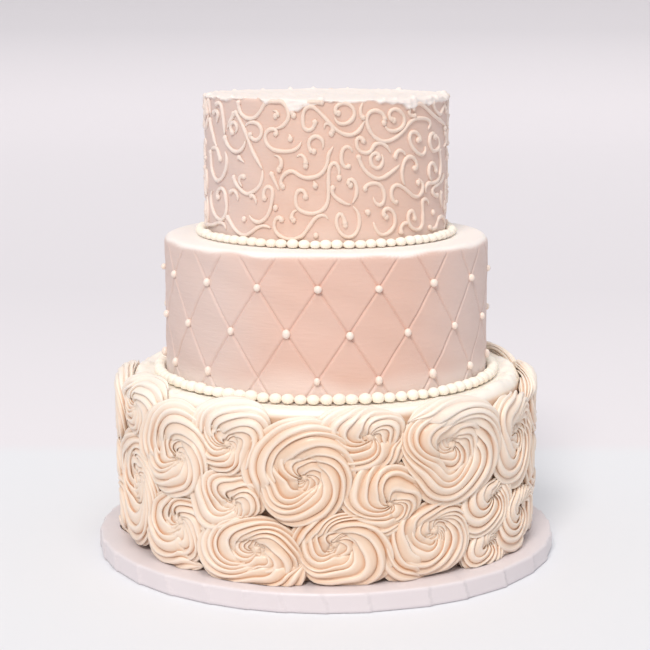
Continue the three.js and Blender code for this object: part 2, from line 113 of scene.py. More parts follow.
# Front half of the piped strokes on the top tier, drawn as the camera sees them: points (right,
# down) from DRAWING_CORNER in its frame, DRAWING_SCALE to a step of the frame. A stroke starts at
# its thick end and runs out thin.
DRAWING_CORNER = (193.9, 75.0)
DRAWING_SCALE = 5.917
STROKES = [
    # From the upper edge, left to right.
    [(92, 120), (96, 175), (101, 235)],
    [(133, 180), (145, 165), (163, 175), (172, 215), (179, 265), (183, 315), (184, 355)],
    [(272, 120), (266, 170), (280, 225), (320, 256), (362, 250), (397, 212), (420, 172),
     (450, 142), (485, 128), (520, 145), (550, 195), (562, 245), (540, 288), (505, 312),
     (470, 318)],
    [(488, 248), (498, 232), (488, 214), (466, 210)],
    [(592, 238), (575, 213), (558, 180)],
    [(757, 152), (735, 140), (690, 160), (645, 178), (612, 202)],
    [(720, 262), (708, 308), (682, 326), (655, 315), (645, 270), (650, 220), (672, 190),
     (705, 188), (745, 222), (790, 270), (835, 318), (885, 348), (930, 354), (972, 332),
     (998, 292), (1014, 262)],
    [(812, 348), (822, 325), (815, 300), (795, 285), (775, 292), (772, 320)],
    [(858, 232), (840, 220), (838, 195), (858, 174), (888, 166), (922, 178), (945, 208),
     (946, 243), (924, 274), (892, 289), (860, 286), (840, 268), (833, 245)],
    [(1012, 262), (990, 240), (984, 205), (998, 162)],
    [(1128, 275), (1124, 247), (1108, 223), (1077, 210), (1047, 216), (1026, 240), (1022, 280),
     (1035, 322), (1060, 360), (1095, 385), (1130, 393), (1175, 380), (1215, 352), (1245, 320),
     (1268, 288), (1298, 264), (1335, 255), (1378, 262), (1394, 290), (1382, 325)],
    [(1178, 266), (1158, 255), (1153, 228), (1170, 207), (1195, 202), (1222, 220), (1240, 250),
     (1240, 288), (1222, 315), (1195, 328), (1165, 331), (1140, 318), (1128, 296)],
    [(1312, 240), (1285, 240), (1270, 225), (1276, 190), (1284, 155)],
    [(1296, 215), (1300, 185), (1330, 168), (1362, 188), (1405, 230), (1445, 262), (1480, 298),
     (1496, 320)],
    [(1408, 150), (1415, 185), (1430, 215), (1452, 232), (1465, 205), (1478, 175)],
    [(1498, 175), (1490, 215), (1478, 262)],
    # Upper middle.
    [(118, 228), (132, 212), (147, 228), (142, 258), (138, 285)],
    [(98, 250), (105, 300), (118, 355), (130, 405), (140, 425)],
    [(246, 215), (228, 255), (210, 290), (200, 320)],
    [(240, 350), (225, 330), (220, 300), (232, 280), (250, 285), (258, 315), (248, 345)],
    [(185, 355), (195, 395), (215, 430), (245, 452), (275, 448), (298, 420), (308, 385)],
    [(246, 208), (262, 240), (285, 285), (305, 330), (325, 385), (350, 450), (378, 505),
     (408, 560)],
    [(345, 340), (335, 355), (350, 378), (374, 383), (397, 362), (403, 328), (388, 297),
     (358, 279), (325, 284), (303, 305)],
    [(472, 352), (493, 345), (480, 322), (450, 322), (428, 345), (425, 380), (440, 415),
     (475, 442), (530, 452), (585, 447), (620, 425), (637, 395)],
    [(578, 386), (572, 366), (562, 348)],
    [(708, 457), (688, 440), (680, 410), (690, 378), (720, 362), (752, 375), (765, 405),
     (762, 440)],
    [(508, 558), (520, 525), (512, 495), (492, 477), (474, 478)],
    [(662, 535), (661, 508), (650, 482), (628, 472), (607, 488)],
    [(528, 664), (516, 630), (532, 592), (566, 570), (596, 574), (625, 594), (665, 608),
     (710, 604), (748, 587), (775, 556), (790, 515), (797, 470), (826, 420)],
    [(1003, 408), (998, 382), (978, 370), (962, 385), (962, 418), (978, 447), (1005, 460),
     (1035, 458), (1052, 440), (1064, 416), (1090, 402), (1122, 410), (1148, 434), (1163, 465)],
    [(1086, 500), (1092, 480), (1078, 462), (1055, 468), (1043, 492), (1048, 525), (1068, 547),
     (1092, 549), (1110, 530), (1116, 500), (1110, 468)],
    [(968, 470), (985, 520), (1008, 560), (1040, 592), (1080, 612), (1118, 606), (1155, 583),
     (1190, 555), (1218, 530)],
    [(928, 532), (905, 545), (885, 537), (873, 510), (872, 475), (882, 440), (905, 424),
     (928, 435), (938, 462)],
    [(1326, 396), (1332, 370), (1312, 340), (1286, 338), (1273, 365), (1278, 400), (1295, 435),
     (1320, 462), (1348, 471), (1366, 450), (1366, 420)],
    [(1417, 380), (1413, 345), (1396, 355), (1390, 390), (1397, 425), (1410, 447), (1427, 447),
     (1444, 430), (1447, 396), (1440, 362)],
    [(1475, 300), (1488, 340), (1485, 390), (1475, 425)],
    [(1186, 500), (1192, 468), (1212, 446), (1238, 455), (1250, 480)],
    [(1290, 548), (1312, 552), (1313, 522), (1298, 493), (1273, 482), (1250, 497), (1236, 530),
     (1228, 575), (1232, 620), (1245, 655)],
    [(1325, 640), (1318, 608)],
    [(1427, 580), (1424, 548), (1410, 521), (1392, 532), (1386, 572), (1392, 605), (1405, 628)],
    [(1445, 430), (1452, 480), (1455, 530), (1452, 580), (1440, 620), (1415, 638), (1385, 640),
     (1368, 665), (1370, 700)],
    [(1490, 430), (1480, 475), (1488, 530), (1480, 580)],
    # Lower middle.
    [(62, 422), (85, 432), (105, 440)],
    [(165, 512), (155, 480), (142, 440), (125, 428), (105, 440)],
    [(104, 440), (106, 490), (110, 550), (123, 600), (143, 624), (168, 610), (188, 572),
     (198, 525), (196, 480), (185, 450)],
    [(262, 478), (280, 498), (300, 520)],
    [(308, 612), (295, 598), (276, 605), (272, 632), (288, 662)],
    [(237, 590), (246, 628), (266, 662), (292, 690), (320, 703), (352, 690), (384, 664),
     (402, 630), (408, 595), (408, 560)],
    [(455, 570), (470, 605), (488, 645), (506, 685)],
    [(722, 668), (716, 645), (708, 625)],
    [(657, 738), (662, 705), (642, 682), (615, 688), (603, 725), (607, 770), (625, 797),
     (655, 812), (695, 820), (740, 810), (775, 785), (792, 745), (796, 700), (796, 650),
     (796, 600), (800, 555), (812, 530), (832, 520), (850, 537), (859, 570), (856, 605)],
    [(826, 652), (817, 685), (830, 715), (860, 740), (895, 760), (930, 768)],
    [(922, 655), (912, 628), (930, 618), (952, 636), (962, 675), (957, 718), (936, 762)],
    [(896, 892), (886, 850), (868, 820), (848, 838), (843, 875), (855, 915), (882, 948),
     (918, 960), (950, 945), (972, 908), (978, 860), (968, 812), (940, 775)],
    [(1010, 690), (1015, 660), (1045, 642), (1085, 642), (1113, 668), (1124, 710), (1120, 750),
     (1098, 770), (1072, 755), (1060, 722)],
    [(1206, 747), (1186, 752), (1170, 730), (1165, 695), (1176, 662), (1200, 650), (1230, 662),
     (1260, 686), (1290, 712), (1318, 720), (1340, 702), (1350, 665), (1344, 632), (1325, 612)],
    [(1438, 712), (1418, 708), (1405, 685), (1418, 660), (1440, 645), (1462, 620), (1475, 580)],
    [(1455, 680), (1455, 740), (1465, 785), (1485, 800)],
    # Lower edge.
    [(153, 735), (142, 705), (150, 680), (168, 670), (186, 692), (194, 735), (197, 785),
     (190, 828), (168, 856), (142, 845), (120, 808), (108, 760), (106, 705), (112, 685)],
    [(215, 700), (230, 682), (250, 690), (262, 720), (262, 745)],
    [(332, 722), (350, 712), (366, 735), (372, 765)],
    [(425, 745), (415, 712), (420, 678), (440, 660), (463, 672), (468, 705), (462, 750),
     (453, 795), (435, 835), (408, 862), (378, 870), (348, 855), (328, 828)],
    [(198, 828), (215, 862), (240, 905), (272, 938), (308, 948), (342, 930), (378, 902),
     (418, 892), (458, 905)],
    [(76, 850), (88, 888), (122, 884), (155, 872), (180, 882), (194, 915)],
    [(74, 780), (88, 808), (86, 842)],
    [(528, 872), (512, 845), (488, 850), (476, 885), (486, 925), (515, 955), (555, 970),
     (600, 969), (640, 953), (665, 922), (690, 885), (718, 848), (748, 830), (778, 834),
     (797, 858)],
    [(588, 862), (580, 835), (592, 808), (618, 797)],
    [(1015, 798), (1024, 815), (1030, 840)],
    [(1133, 840), (1120, 820), (1125, 798), (1150, 790), (1175, 810), (1187, 845), (1184, 888),
     (1165, 920), (1135, 942), (1105, 945), (1082, 925), (1067, 892), (1062, 868)],
    [(1225, 945), (1222, 908), (1238, 880), (1262, 876), (1285, 895)],
    [(1303, 865), (1300, 832), (1290, 803), (1270, 815), (1264, 850), (1275, 888), (1300, 912),
     (1330, 912), (1348, 885), (1350, 840), (1350, 790), (1348, 745), (1362, 733), (1380, 745),
     (1385, 770)],
    [(1385, 895), (1405, 912), (1428, 900), (1436, 868), (1450, 840), (1470, 842), (1478, 875),
     (1472, 915)],
]
# Single dots of icing between the strokes.
DOTS = [
    (485, 243), (592, 240), (756, 148), (854, 226), (812, 347), (1180, 268), (1122, 282),
    (1424, 366), (572, 378), (710, 452), (1085, 492), (1322, 385), (505, 560), (527, 660),
    (662, 538), (718, 655), (858, 608), (925, 652), (1322, 636), (1490, 690), (485, 785),
    (1028, 812), (1135, 840), (1410, 812), (300, 852), (590, 858), (895, 890), (722, 950),
]
# How far the ivory lip hangs down the top tier's wall over the front half: angle in degrees, mm.
# Below zero it stops short of the edge.
LIP_EDGE = [
    (-90, 3), (-71, 1.4), (-61, 0.8), (-52, 2.6), (-46, 0.2), (-36, -0.8), (-31, 0.2), (-28, 3.4),
    (-25, 0.6), (-22, -0.4), (-20, 2.4), (-16.5, 8), (-13, 7.2), (-10, 4.8), (-6, 3.2), (-2, 1.6),
    (3, 1.2), (10, 2.6), (14, 1.6), (21, 0.4), (24, 2.4), (30, 3.1), (36, 2.8), (39, 6.4),
    (42.5, 6.6), (47, 4.4), (55, 4.7), (64, 3.4), (75, 3.6), (90, 3),
]


# ---------- sizes and colours ----------

def length(name, description, default_mm):
    return bpy.props.FloatProperty(
        name=name, description=description, default=default_mm * MM, unit="LENGTH", precision=5)


def number(name, description, default):
    return bpy.props.FloatProperty(name=name, description=description, default=default)


def count(name, description, default):
    return bpy.props.IntProperty(name=name, description=description, default=default, min=1)


def hex_colour(value):
    """Linear RGBA of an sRGB hex value."""
    channels = [(value >> shift & 255) / 255 for shift in (16, 8, 0)]
    linear = [c / 12.92 if c <= 0.04045 else ((c + 0.055) / 1.055) ** 2.4 for c in channels]
    return (*linear, 1.0)


def colour(name, description, value):
    return bpy.props.FloatVectorProperty(
        name=name, description=description, default=hex_colour(value), size=4, subtype="COLOR",
        min=0, max=1)


class CakeTierSizes(bpy.types.PropertyGroup):
    """Sizes of the drum and the three tiers"""
    drum_radius: length("Drum radius", "Half of the drum's width", 152.4)
    drum_top: length("Drum top", "Thickness of the drum", 12.7)
    bottom_radius: length("Bottom radius", "Wall of the bottom tier under its rosettes", 128.5)
    bottom_base: length("Bottom base", "Height of the bottom tier's foot", 13.0)
    bottom_top: length("Bottom top", "Height of the bottom tier's top", 118.5)
    middle_radius: length("Middle radius", "Wall of the quilted tier", 106.3)
    middle_base: length("Middle base", "Height of the quilted tier's foot", 118.8)
    middle_top: length("Middle top", "Height of the quilted tier's top", 210.0)
    top_radius: length("Top radius", "Wall of the scrolled tier", 78.5)
    top_base: length("Top base", "Height of the scrolled tier's foot", 210.3)
    top_top: length("Top top", "Height of the scrolled tier's top", 301.4)


class CakeRosetteSizes(bpy.types.PropertyGroup):
    """How the rosettes are piped"""
    spacing: length("Spacing", "Distance from one outer turn of the piping to the next", 15.5)
    overlap: number("Overlap", "Half width of the piping as a share of the spacing", 0.72)
    lap: length("Lap", "How far rosettes press into each other", 6.5)
    over: length("Over", "How far a rosette laps over one of the next lower layer", 2.4)
    thickness: length("Thickness", "Height of the piping off the wall", 12.2)
    ridges: count("Ridges", "Ridges round the piping, as the star nozzle has teeth", 12)
    ridge_depth: number("Ridge depth", "Depth of a groove as a share of the piping's radius", 0.37)
    twist: number("Twist", "Turns of the ridges in one turn of the rosette", 0.9)
    layer: length("Layer", "How much higher a rosette lies that is piped over others", 1.2)
    spread: number("Spread", "Growth of the ovals until they meet their neighbours", 1.26)
    step: length("Step", "Distance between two rings of points", 1.7)
    bud: length("Bud", "Width of the blob in the eye of a rosette", 7.6)


class CakeQuiltSizes(bpy.types.PropertyGroup):
    """The net of grooves on the middle tier and its pearls"""
    columns: count("Columns", "Pearls in a row all the way round", 17)
    first_column: number("First column", "Angle of a pearl in the upper row, in degrees", -2.9)
    upper_row: length("Upper row", "Height of the upper row of pearls", 188.6)
    row_gap: length("Row gap", "Height from one row of pearls to the next", 28.2)
    groove_width: length("Groove width", "Width of a pressed line", 1.9)
    groove_depth: length("Groove depth", "Depth of a pressed line", 0.9)
    pearl: length("Pearl", "Width of a pearl", 4.8)


class CakePipingSizes(bpy.types.PropertyGroup):
    """Bead borders and scrolls"""
    middle_beads: count("Middle beads", "Beads round the foot of the middle tier", 88)
    top_beads: count("Top beads", "Beads round the foot of the top tier", 74)
    cord: length("Cord", "Width of a piped scroll", 2.6)
    cord_stand: length("Cord stand", "Height of a scroll off the wall", 1.5)
    dot: length("Dot", "Width of a single dot", 3.6)


class CakeColours(bpy.types.PropertyGroup):
    """Colours of the icing and the wrap"""
    blush: colour("Blush", "Wall of the middle tier", 0xE3C0B1)
    blush_top: colour("Blush of the top tier", "Wall of the top tier", 0xE4C5B5)
    # Painted light: the walls' paler tone at the sides, where the warm front light falls off.
    blush_side_light: colour("Blush at the sides", "Painted light: paler where the walls turn from the front light", 0xDFC8BF)
    scroll: colour("Scroll", "Piped scrolls on the top tier", 0xEFDACB)
    # Painted light: the scrolls' paler tone at the sides, where the warm front light falls off.
    scroll_side_light: colour("Scrolls at the sides", "Painted light: paler where they turn from the front light", 0xF1E2D9)
    rosette: colour("Rosette", "Piped rosettes", 0xECD2BA)
    # Painted light: the rosettes' paler tone at the sides, where the warm front light falls off.
    rosette_side_light: colour("Rosettes at the sides", "Painted light: paler where they turn from the front light", 0xF1DDCA)
    # Painted shade: a warm brown painted deep between the ridges, where light bounces from icing to
    # icing.
    rosette_groove_shade: colour("Rosette groove shade", "Shade painted deep between the ridges", 0xC98752)
    # Painted highlight on the thin lips of the ridges.
    rosette_crest_highlight: colour("Rosette crest highlight", "Highlight painted on the thin lips of the ridges", 0xFAEEE2)
    pearl: colour("Pearl", "Pearls on the quilting", 0xF8E9DE)
    # Ivory: partly the white icing on the bottom tier's top, partly painted light where light from
    # above falls on the top and the piping near it.
    ivory: colour("Ivory", "Top of the bottom tier and its upper piping", 0xFDF6EC)
    cream: colour("Cream", "Beads", 0xFFF8EC)
    white: colour("White icing", "Top of the middle tier and its edge", 0xFAF3EE)
    lip: colour("Lip", "Top of the top tier and its ragged lip", 0xF4EAE4)
    wrap: colour("Wrap", "Paper round the drum", 0xE2DBDD)
    table: colour("Table", "Near part of the floor", 0xE4E6EA)
    backdrop: colour("Backdrop", "Far part of the floor", 0xE5E2E6)


PROPERTY_GROUPS = {
    "cake_tiers": CakeTierSizes,
    "cake_rosettes": CakeRosetteSizes,
    "cake_quilt": CakeQuiltSizes,
    "cake_piping": CakePipingSizes,
    "cake_colours": CakeColours,
}


# ---------- shared mesh helpers ----------

def around(angle, radius, height):
    """Points at angles (radians) round the cake, distances from its axis and heights."""
    angle, radius, height = np.broadcast_arrays(angle, radius, height)
    return np.stack([radius * np.sin(angle), -radius * np.cos(angle), height], axis=-1)


def polar(points):
    """Angle, distance from the axis and height of each point: the reverse of around."""
    across, deep, height = points.T
    return np.arctan2(across, -deep), np.hypot(across, deep), height


def smooth_step(low, high, value):
    share = np.clip((value - low) / (high - low), 0, 1)
    return share * share * (3 - 2 * share)


def waves(seed, turns, phase):
    """A smooth closed wobble of a phase in radians, mostly from -1 to 1, with about that many
    turns."""
    random = np.random.default_rng(seed)
    total = np.zeros(np.shape(phase))
    for share in (0.6, 0.8, 1.0, 1.25, 1.6):
        whole = max(1, round(turns * share))
        total = total + np.sin(whole * phase + random.uniform(0, TAU))
    return total / 3


def mesh_points(mesh):
    points = np.zeros(len(mesh.vertices) * 3)
    mesh.vertices.foreach_get("co", points)
    return points.reshape(-1, 3)


def set_mesh_points(mesh, points):
    mesh.vertices.foreach_set("co", np.ascontiguousarray(points, dtype=np.float64).ravel())
    mesh.update()


def add_grid(bm, columns, rows, points):
    """Adds a grid whose point (row, column) goes to points[row][column]."""
    made = bmesh.ops.create_grid(bm, x_segments=columns, y_segments=rows, size=1)["verts"]
    for vertex, point in zip(made, points.reshape(-1, 3)):
        vertex.co = point
    return made


def everything(bm):
    return [*bm.verts, *bm.edges, *bm.faces]


def only(kind, parts):
    """Those parts of an operator's result that are of one kind."""
    return [part for part in parts if isinstance(part, kind)]


def capped(rings):
    """Adds a ring at each end that is drawn together to its middle, which closes a cord's ends."""
    ends = [np.full((1, rings.shape[1]), rings[row].mean()) for row in (0, -1)]
    return np.concatenate([ends[0], rings, ends[1]])


def close_and_orient(bm):
    """Merges seams and poles, and turns the faces outwards."""
    bmesh.ops.remove_doubles(bm, verts=bm.verts, dist=MERGE_DISTANCE)
    bmesh.ops.recalc_face_normals(bm, faces=bm.faces)


def spin_profile(bm, profile, angle, steps, whole=False):
    """Spins a line of (radius, height) points round the cake's axis, starting at the front."""
    line = [bm.verts.new((0, -radius, height)) for radius, height in profile]
    edges = [bm.edges.new(pair) for pair in zip(line, line[1:])]
    bmesh.ops.spin(
        bm, geom=[*line, *edges], cent=(0, 0, 0), axis=(0, 0, 1), angle=angle, steps=steps,
        use_merge=whole)


def spun_tier(profile, steps):
    """A closed shape of revolution from a profile of (radius, height) that runs axis to axis. One
    sector is spun and then repeated, which is much faster than one long spin."""
    bm = bmesh.new()
    spin_profile(bm, profile, TAU / SECTORS, steps // SECTORS)
    repeat_round(bm, SECTORS)
    close_and_orient(bm)
    return bm


def repeat_round(bm, times):
    """Repeats a whole bmesh round the cake's axis."""
    bmesh.ops.spin(
        bm, geom=everything(bm), cent=(0, 0, 0), axis=(0, 0, 1),
        angle=TAU * (times - 1) / times, steps=times - 1, use_duplicate=True)


def spaced(start, end, step):
    """Values from start to end, the start left out, about a step apart."""
    steps = max(1, round(abs(end - start) / step))
    return [start + (end - start) * (i + 1) / steps for i in range(steps)]


def rounded_rim(radius, top, rim, turns):
    """Profile of a rim that rolls from the wall to the top, at the given turns in degrees."""
    return [(radius - rim * (1 - math.cos(turn)), top - rim * (1 - math.sin(turn)))
            for turn in map(math.radians, turns)]


def tier_profile(radius, base, top, rim, wall_step, top_step):
    """Profile of a round tier: its base, wall, rounded rim and top."""
    profile = [(0, base), (radius - 20 * MM, base), (radius, base)]
    profile += [(radius, height) for height in spaced(base, top - rim, wall_step)]
    rim_step = max(8, math.degrees(wall_step / rim))
    profile += rounded_rim(radius, top, rim, spaced(0, 90, rim_step))
    profile += [(reach, top) for reach in spaced(radius - rim, 0, top_step)]
    return profile


def new_object(name, bm, material):
    """Turns a bmesh into a smooth object of one material."""
    mesh = bpy.data.meshes.new(name)
    bm.to_mesh(mesh)
    bm.free()
    mesh.shade_smooth()
    mesh.materials.append(material)
    made = bpy.data.objects.new(name, mesh)
    bpy.context.scene.collection.objects.link(made)
    return made


def add_piece(name, bm, material, replaced):
    """Makes a piece that rides on the cake and stands for its CAD nodes."""
    piece = new_object(name, bm, material)
    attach(piece, "root")
    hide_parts(*replaced)
    return piece


def add_values(piece, name, values):
    """Gives each vertex of a piece a number that its material reads."""
    attribute = piece.data.attributes.new(name, "FLOAT", "POINT")
    attribute.data.foreach_set("value", np.ascontiguousarray(values, dtype=np.float32))


# ---------- materials ----------

def add_node(tree, kind, inputs=None, **settings):
    """Adds a node with its settings; an input is a value or the socket that feeds it."""
    node = tree.nodes.new(kind)
    for name, value in settings.items():
        setattr(node, name, value)
    for name, value in (inputs or {}).items():
        if isinstance(value, bpy.types.NodeSocket):
            tree.links.new(value, node.inputs[name])
        else:
            node.inputs[name].default_value = value
    return node


def new_material(name):
    material = bpy.data.materials.new(name)
    material.use_nodes = True
    material.node_tree.nodes.clear()
    return material, material.node_tree


def cover(tree, shader, share, colour):
    """Lays a colour over what a shader's base colour is so far, as much as the share says."""
    base = shader.inputs["Base Color"]
    under = base.links[0].from_socket if base.is_linked else tuple(base.default_value)
    mix = add_node(tree, "ShaderNodeMix", {
        MIX_SHARE: share, MIX_FIRST: under, MIX_SECOND: tuple(colour)}, data_type="RGBA")
    tree.links.new(mix.outputs[MIX_RESULT], base)


def tinted(value, factor):
    """A colour with its channels multiplied, none past full."""
    return (*[min(1.0, channel * f) for channel, f in zip(value[:3], factor)], 1.0)


def buttercream(name, base, marks, side=None, grain_height=0.12, roughness=0.44):
    """Whipped buttercream: matt fat and sugar, so light goes a little way in and comes out warm,
    with soft palette-knife marks and a fine grain of tiny air bubbles. Away from the front and back
    it is painted a paler side colour: painted light, where the warm front light falls off."""
    material, tree = new_material(name)
    place = add_node(tree, "ShaderNodeTexCoord").outputs["Object"]
    level = add_node(tree, "ShaderNodeMapping", {"Vector": place, "Scale": (1, 1, marks)})
    # Knife marks lie level round the tier and are about 12 mm long.
    streaks = add_node(tree, "ShaderNodeTexNoise", {
        "Vector": level.outputs["Vector"], "Scale": 85.0, "Detail": 3.0, "Roughness": 0.55})
    # The colour drifts over about 50 mm, where the tint is not fully stirred in.
    drift = add_node(tree, "ShaderNodeTexNoise", {
        "Vector": place, "Scale": 20.0, "Detail": 2.0, "Roughness": 0.5})
    # Air bubbles are 0.2 mm; drawn at 0.8 mm, the finest that shows.
    grain = add_node(tree, "ShaderNodeTexNoise", {
        "Vector": place, "Scale": 1250.0, "Detail": 2.0, "Roughness": 0.6})
    knife = add_node(tree, "ShaderNodeBump", {
        "Height": streaks.outputs["Fac"], "Strength": 0.5, "Distance": 0.5 * MM})
    bubbles = add_node(tree, "ShaderNodeBump", {
        "Height": grain.outputs["Fac"], "Normal": knife.outputs["Normal"], "Strength": 0.5,
        "Distance": grain_height * MM})
    shine = add_node(tree, "ShaderNodeMapRange", {
        "Value": streaks.outputs["Fac"], "From Min": 0.3, "From Max": 0.7, "To Min": roughness,
        "To Max": roughness + 0.14})
    shader = add_node(tree, "ShaderNodeBsdfPrincipled", {
        "Base Color": tinted(base, (0.97, 0.92, 0.88)), "Roughness": shine.outputs["Result"],
        "Normal": bubbles.outputs["Normal"], "IOR": 1.46, "Subsurface Weight": 0.05,
        "Subsurface Radius": (1.0, 0.6, 0.4), "Subsurface Scale": 3 * MM,
        "Specular IOR Level": 0.35})
    cover(tree, shader, drift.outputs["Fac"], tinted(base, (1.03, 1.05, 1.07)))
    if side is not None:
        # Painted light: the warm front tone is full beside a line 12 mm right of the middle, and
        # gives way to the paler side colour 85 mm away from it, where the front light falls off.
        across = add_node(tree, "ShaderNodeSeparateXYZ", {"Vector": place}).outputs["X"]
        shifted = add_node(tree, "ShaderNodeMath", {0: across, 1: 12 * MM}, operation="SUBTRACT")
        away = add_node(tree, "ShaderNodeMath", {0: shifted.outputs["Value"]}, operation="ABSOLUTE")
        share = add_node(tree, "ShaderNodeMapRange", {
            "Value": away.outputs["Value"], "From Min": 30 * MM, "From Max": 85 * MM},
            interpolation_type="SMOOTHSTEP")
        cover(tree, shader, share.outputs["Result"], side)
    add_node(tree, "ShaderNodeOutputMaterial", {"Surface": shader.outputs["BSDF"]})
    return material, tree, shader


def scroll_buttercream(colours):
    """Piped buttercream a tone paler than the wall, so the scrolls stand out softly from it."""
    material, *_ = buttercream(
        "Pale Blush Piped Buttercream", colours.scroll, 1.0, colours.scroll_side_light)
    return material


def pearl_sugar(colours):
    """Pressed sugar with a thin pearly glaze: smoother than the icing, so it keeps a small glint."""
    material, _, shader = buttercream(
        "Glazed Sugar Pearl", colours.pearl, 1.0, grain_height=0.04, roughness=0.26)
    shader.inputs["Coat Weight"].default_value = 0.25
    shader.inputs["Coat Roughness"].default_value = 0.2
    return material


def cream_buttercream(colours):
    """Untinted piped buttercream: the warm white of its butter, in smooth round beads."""
    material, *_ = buttercream("Ivory Piped Buttercream", colours.cream, 1.0)
    return material


def rosette_buttercream(colours):
    """Piped buttercream with painted shade and light: a warm brown is painted deep between the
    ridges as their shade, where light bounces from icing to icing, a painted highlight on their thin
    lips, and ivory on the tier's top and the piping near it, partly white icing and partly painted
    light from above."""
    material, tree, shader = buttercream(
        "Piped Rosette Buttercream", colours.rosette, 1.0, colours.rosette_side_light, roughness=0.3)
    shader.inputs["Specular IOR Level"].default_value = 0.6
    sunk, lap = (add_node(tree, "ShaderNodeAttribute", attribute_name=name).outputs["Fac"]
                 for name in ("sunk", "lap"))
    # Painted shade: the warm brown grows with the depth of the groove.
    groove = add_node(tree, "ShaderNodeMath", {0: sunk, 1: 3.0}, operation="POWER")
    # Painted highlight: a paler tone on the shallowest parts, the ridges' lips.
    crest = add_node(tree, "ShaderNodeMapRange", {
        "Value": sunk, "From Min": 0.0, "From Max": 0.16, "To Min": 0.5, "To Max": 0.0})
    cover(tree, shader, groove.outputs["Value"], colours.rosette_groove_shade)
    cover(tree, shader, crest.outputs["Result"], colours.rosette_crest_highlight)
    # Ivory where the lap attribute says: white icing on the tier's top, and painted light from above
    # on the top and the piping near it.
    cover(tree, shader, lap, colours.ivory)
    return material


def rimmed_buttercream(name, blush, edge, colours):
    """A tier's icing, blush on its wall and ivory where white icing covers its top."""
    material, tree, shader = buttercream(name, blush, 6.0, colours.blush_side_light)
    lap = add_node(tree, "ShaderNodeAttribute", attribute_name="lap")
    cover(tree, shader, lap.outputs["Fac"], edge)
    return material


def drum_wrap(colours):
    """Coated cake-board paper: a satin skin with faint crinkles from being pulled tight."""
    material, tree = new_material("Satin Cake Board Paper")
    place = add_node(tree, "ShaderNodeTexCoord").outputs["Object"]
    # Crinkles are about 9 mm apart.
    crinkle = add_node(tree, "ShaderNodeTexVoronoi", {
        "Vector": place, "Scale": 110.0, "Randomness": 1.0}, feature="SMOOTH_F1")
    fibre = add_node(tree, "ShaderNodeTexNoise", {
        "Vector": place, "Scale": 900.0, "Detail": 3.0, "Roughness": 0.6})
    cloud = add_node(tree, "ShaderNodeTexNoise", {"Vector": place, "Scale": 30.0, "Detail": 2.0})
    creases = add_node(tree, "ShaderNodeBump", {
        "Height": crinkle.outputs["Distance"], "Strength": 0.35, "Distance": 0.25 * MM})
    fine = add_node(tree, "ShaderNodeBump", {
        "Height": fibre.outputs["Fac"], "Normal": creases.outputs["Normal"], "Strength": 0.3,
        "Distance": 0.05 * MM})
    shine = add_node(tree, "ShaderNodeMapRange", {
        "Value": fibre.outputs["Fac"], "To Min": 0.32, "To Max": 0.5})
    shader = add_node(tree, "ShaderNodeBsdfPrincipled", {
        "Base Color": tinted(colours.wrap, (0.97, 0.95, 0.96)),
        "Roughness": shine.outputs["Result"], "Normal": fine.outputs["Normal"], "IOR": 1.5,
        "Coat Weight": 0.15, "Coat Roughness": 0.3})
    cover(tree, shader, cloud.outputs["Fac"], tinted(colours.wrap, (1.02, 1.02, 1.02)))
    add_node(tree, "ShaderNodeOutputMaterial", {"Surface": shader.outputs["BSDF"]})
    return material


def floor_paper(colours):
    """A seamless paper sweep, a tone darker where it leaves the light."""
    material, tree = new_material("Seamless Paper")
    place = add_node(tree, "ShaderNodeTexCoord").outputs["Object"]
    apart = add_node(tree, "ShaderNodeSeparateXYZ", {"Vector": place}).outputs
    shader = add_node(tree, "ShaderNodeBsdfPrincipled", {
        "Base Color": tuple(colours.table), "Roughness": 0.8, "Specular IOR Level": 0.2})
    # Where each tone of the backdrop starts and is full, in metres, and how it fades in.
    tones = (("Y", 0.225, 0.275, "SMOOTHSTEP", (1, 1, 1)),
             ("Y", 0.3, 1.1, "LINEAR", (0.92, 0.92, 0.925)),
             ("Z", 0.0, 0.3, "LINEAR", (0.7, 0.71, 0.72)))
    for axis, start, full, fade, tone in tones:
        share = add_node(tree, "ShaderNodeMapRange", {
            "Value": apart[axis], "From Min": start, "From Max": full}, interpolation_type=fade)
        cover(tree, shader, share.outputs["Result"], tinted(colours.backdrop, tone))
    add_node(tree, "ShaderNodeOutputMaterial", {"Surface": shader.outputs["BSDF"]})
    return material


# ---------- drum and plain bottom tier ----------

def pleat_angles(random):
    """Angles of the wrap's pleats, 20 to 38 mm apart on a walk of 940 mm round the edge."""
    walk = np.cumsum(random.uniform(20, 38, 60))
    walk = walk[walk < 940]
    return TAU * walk / walk.max()


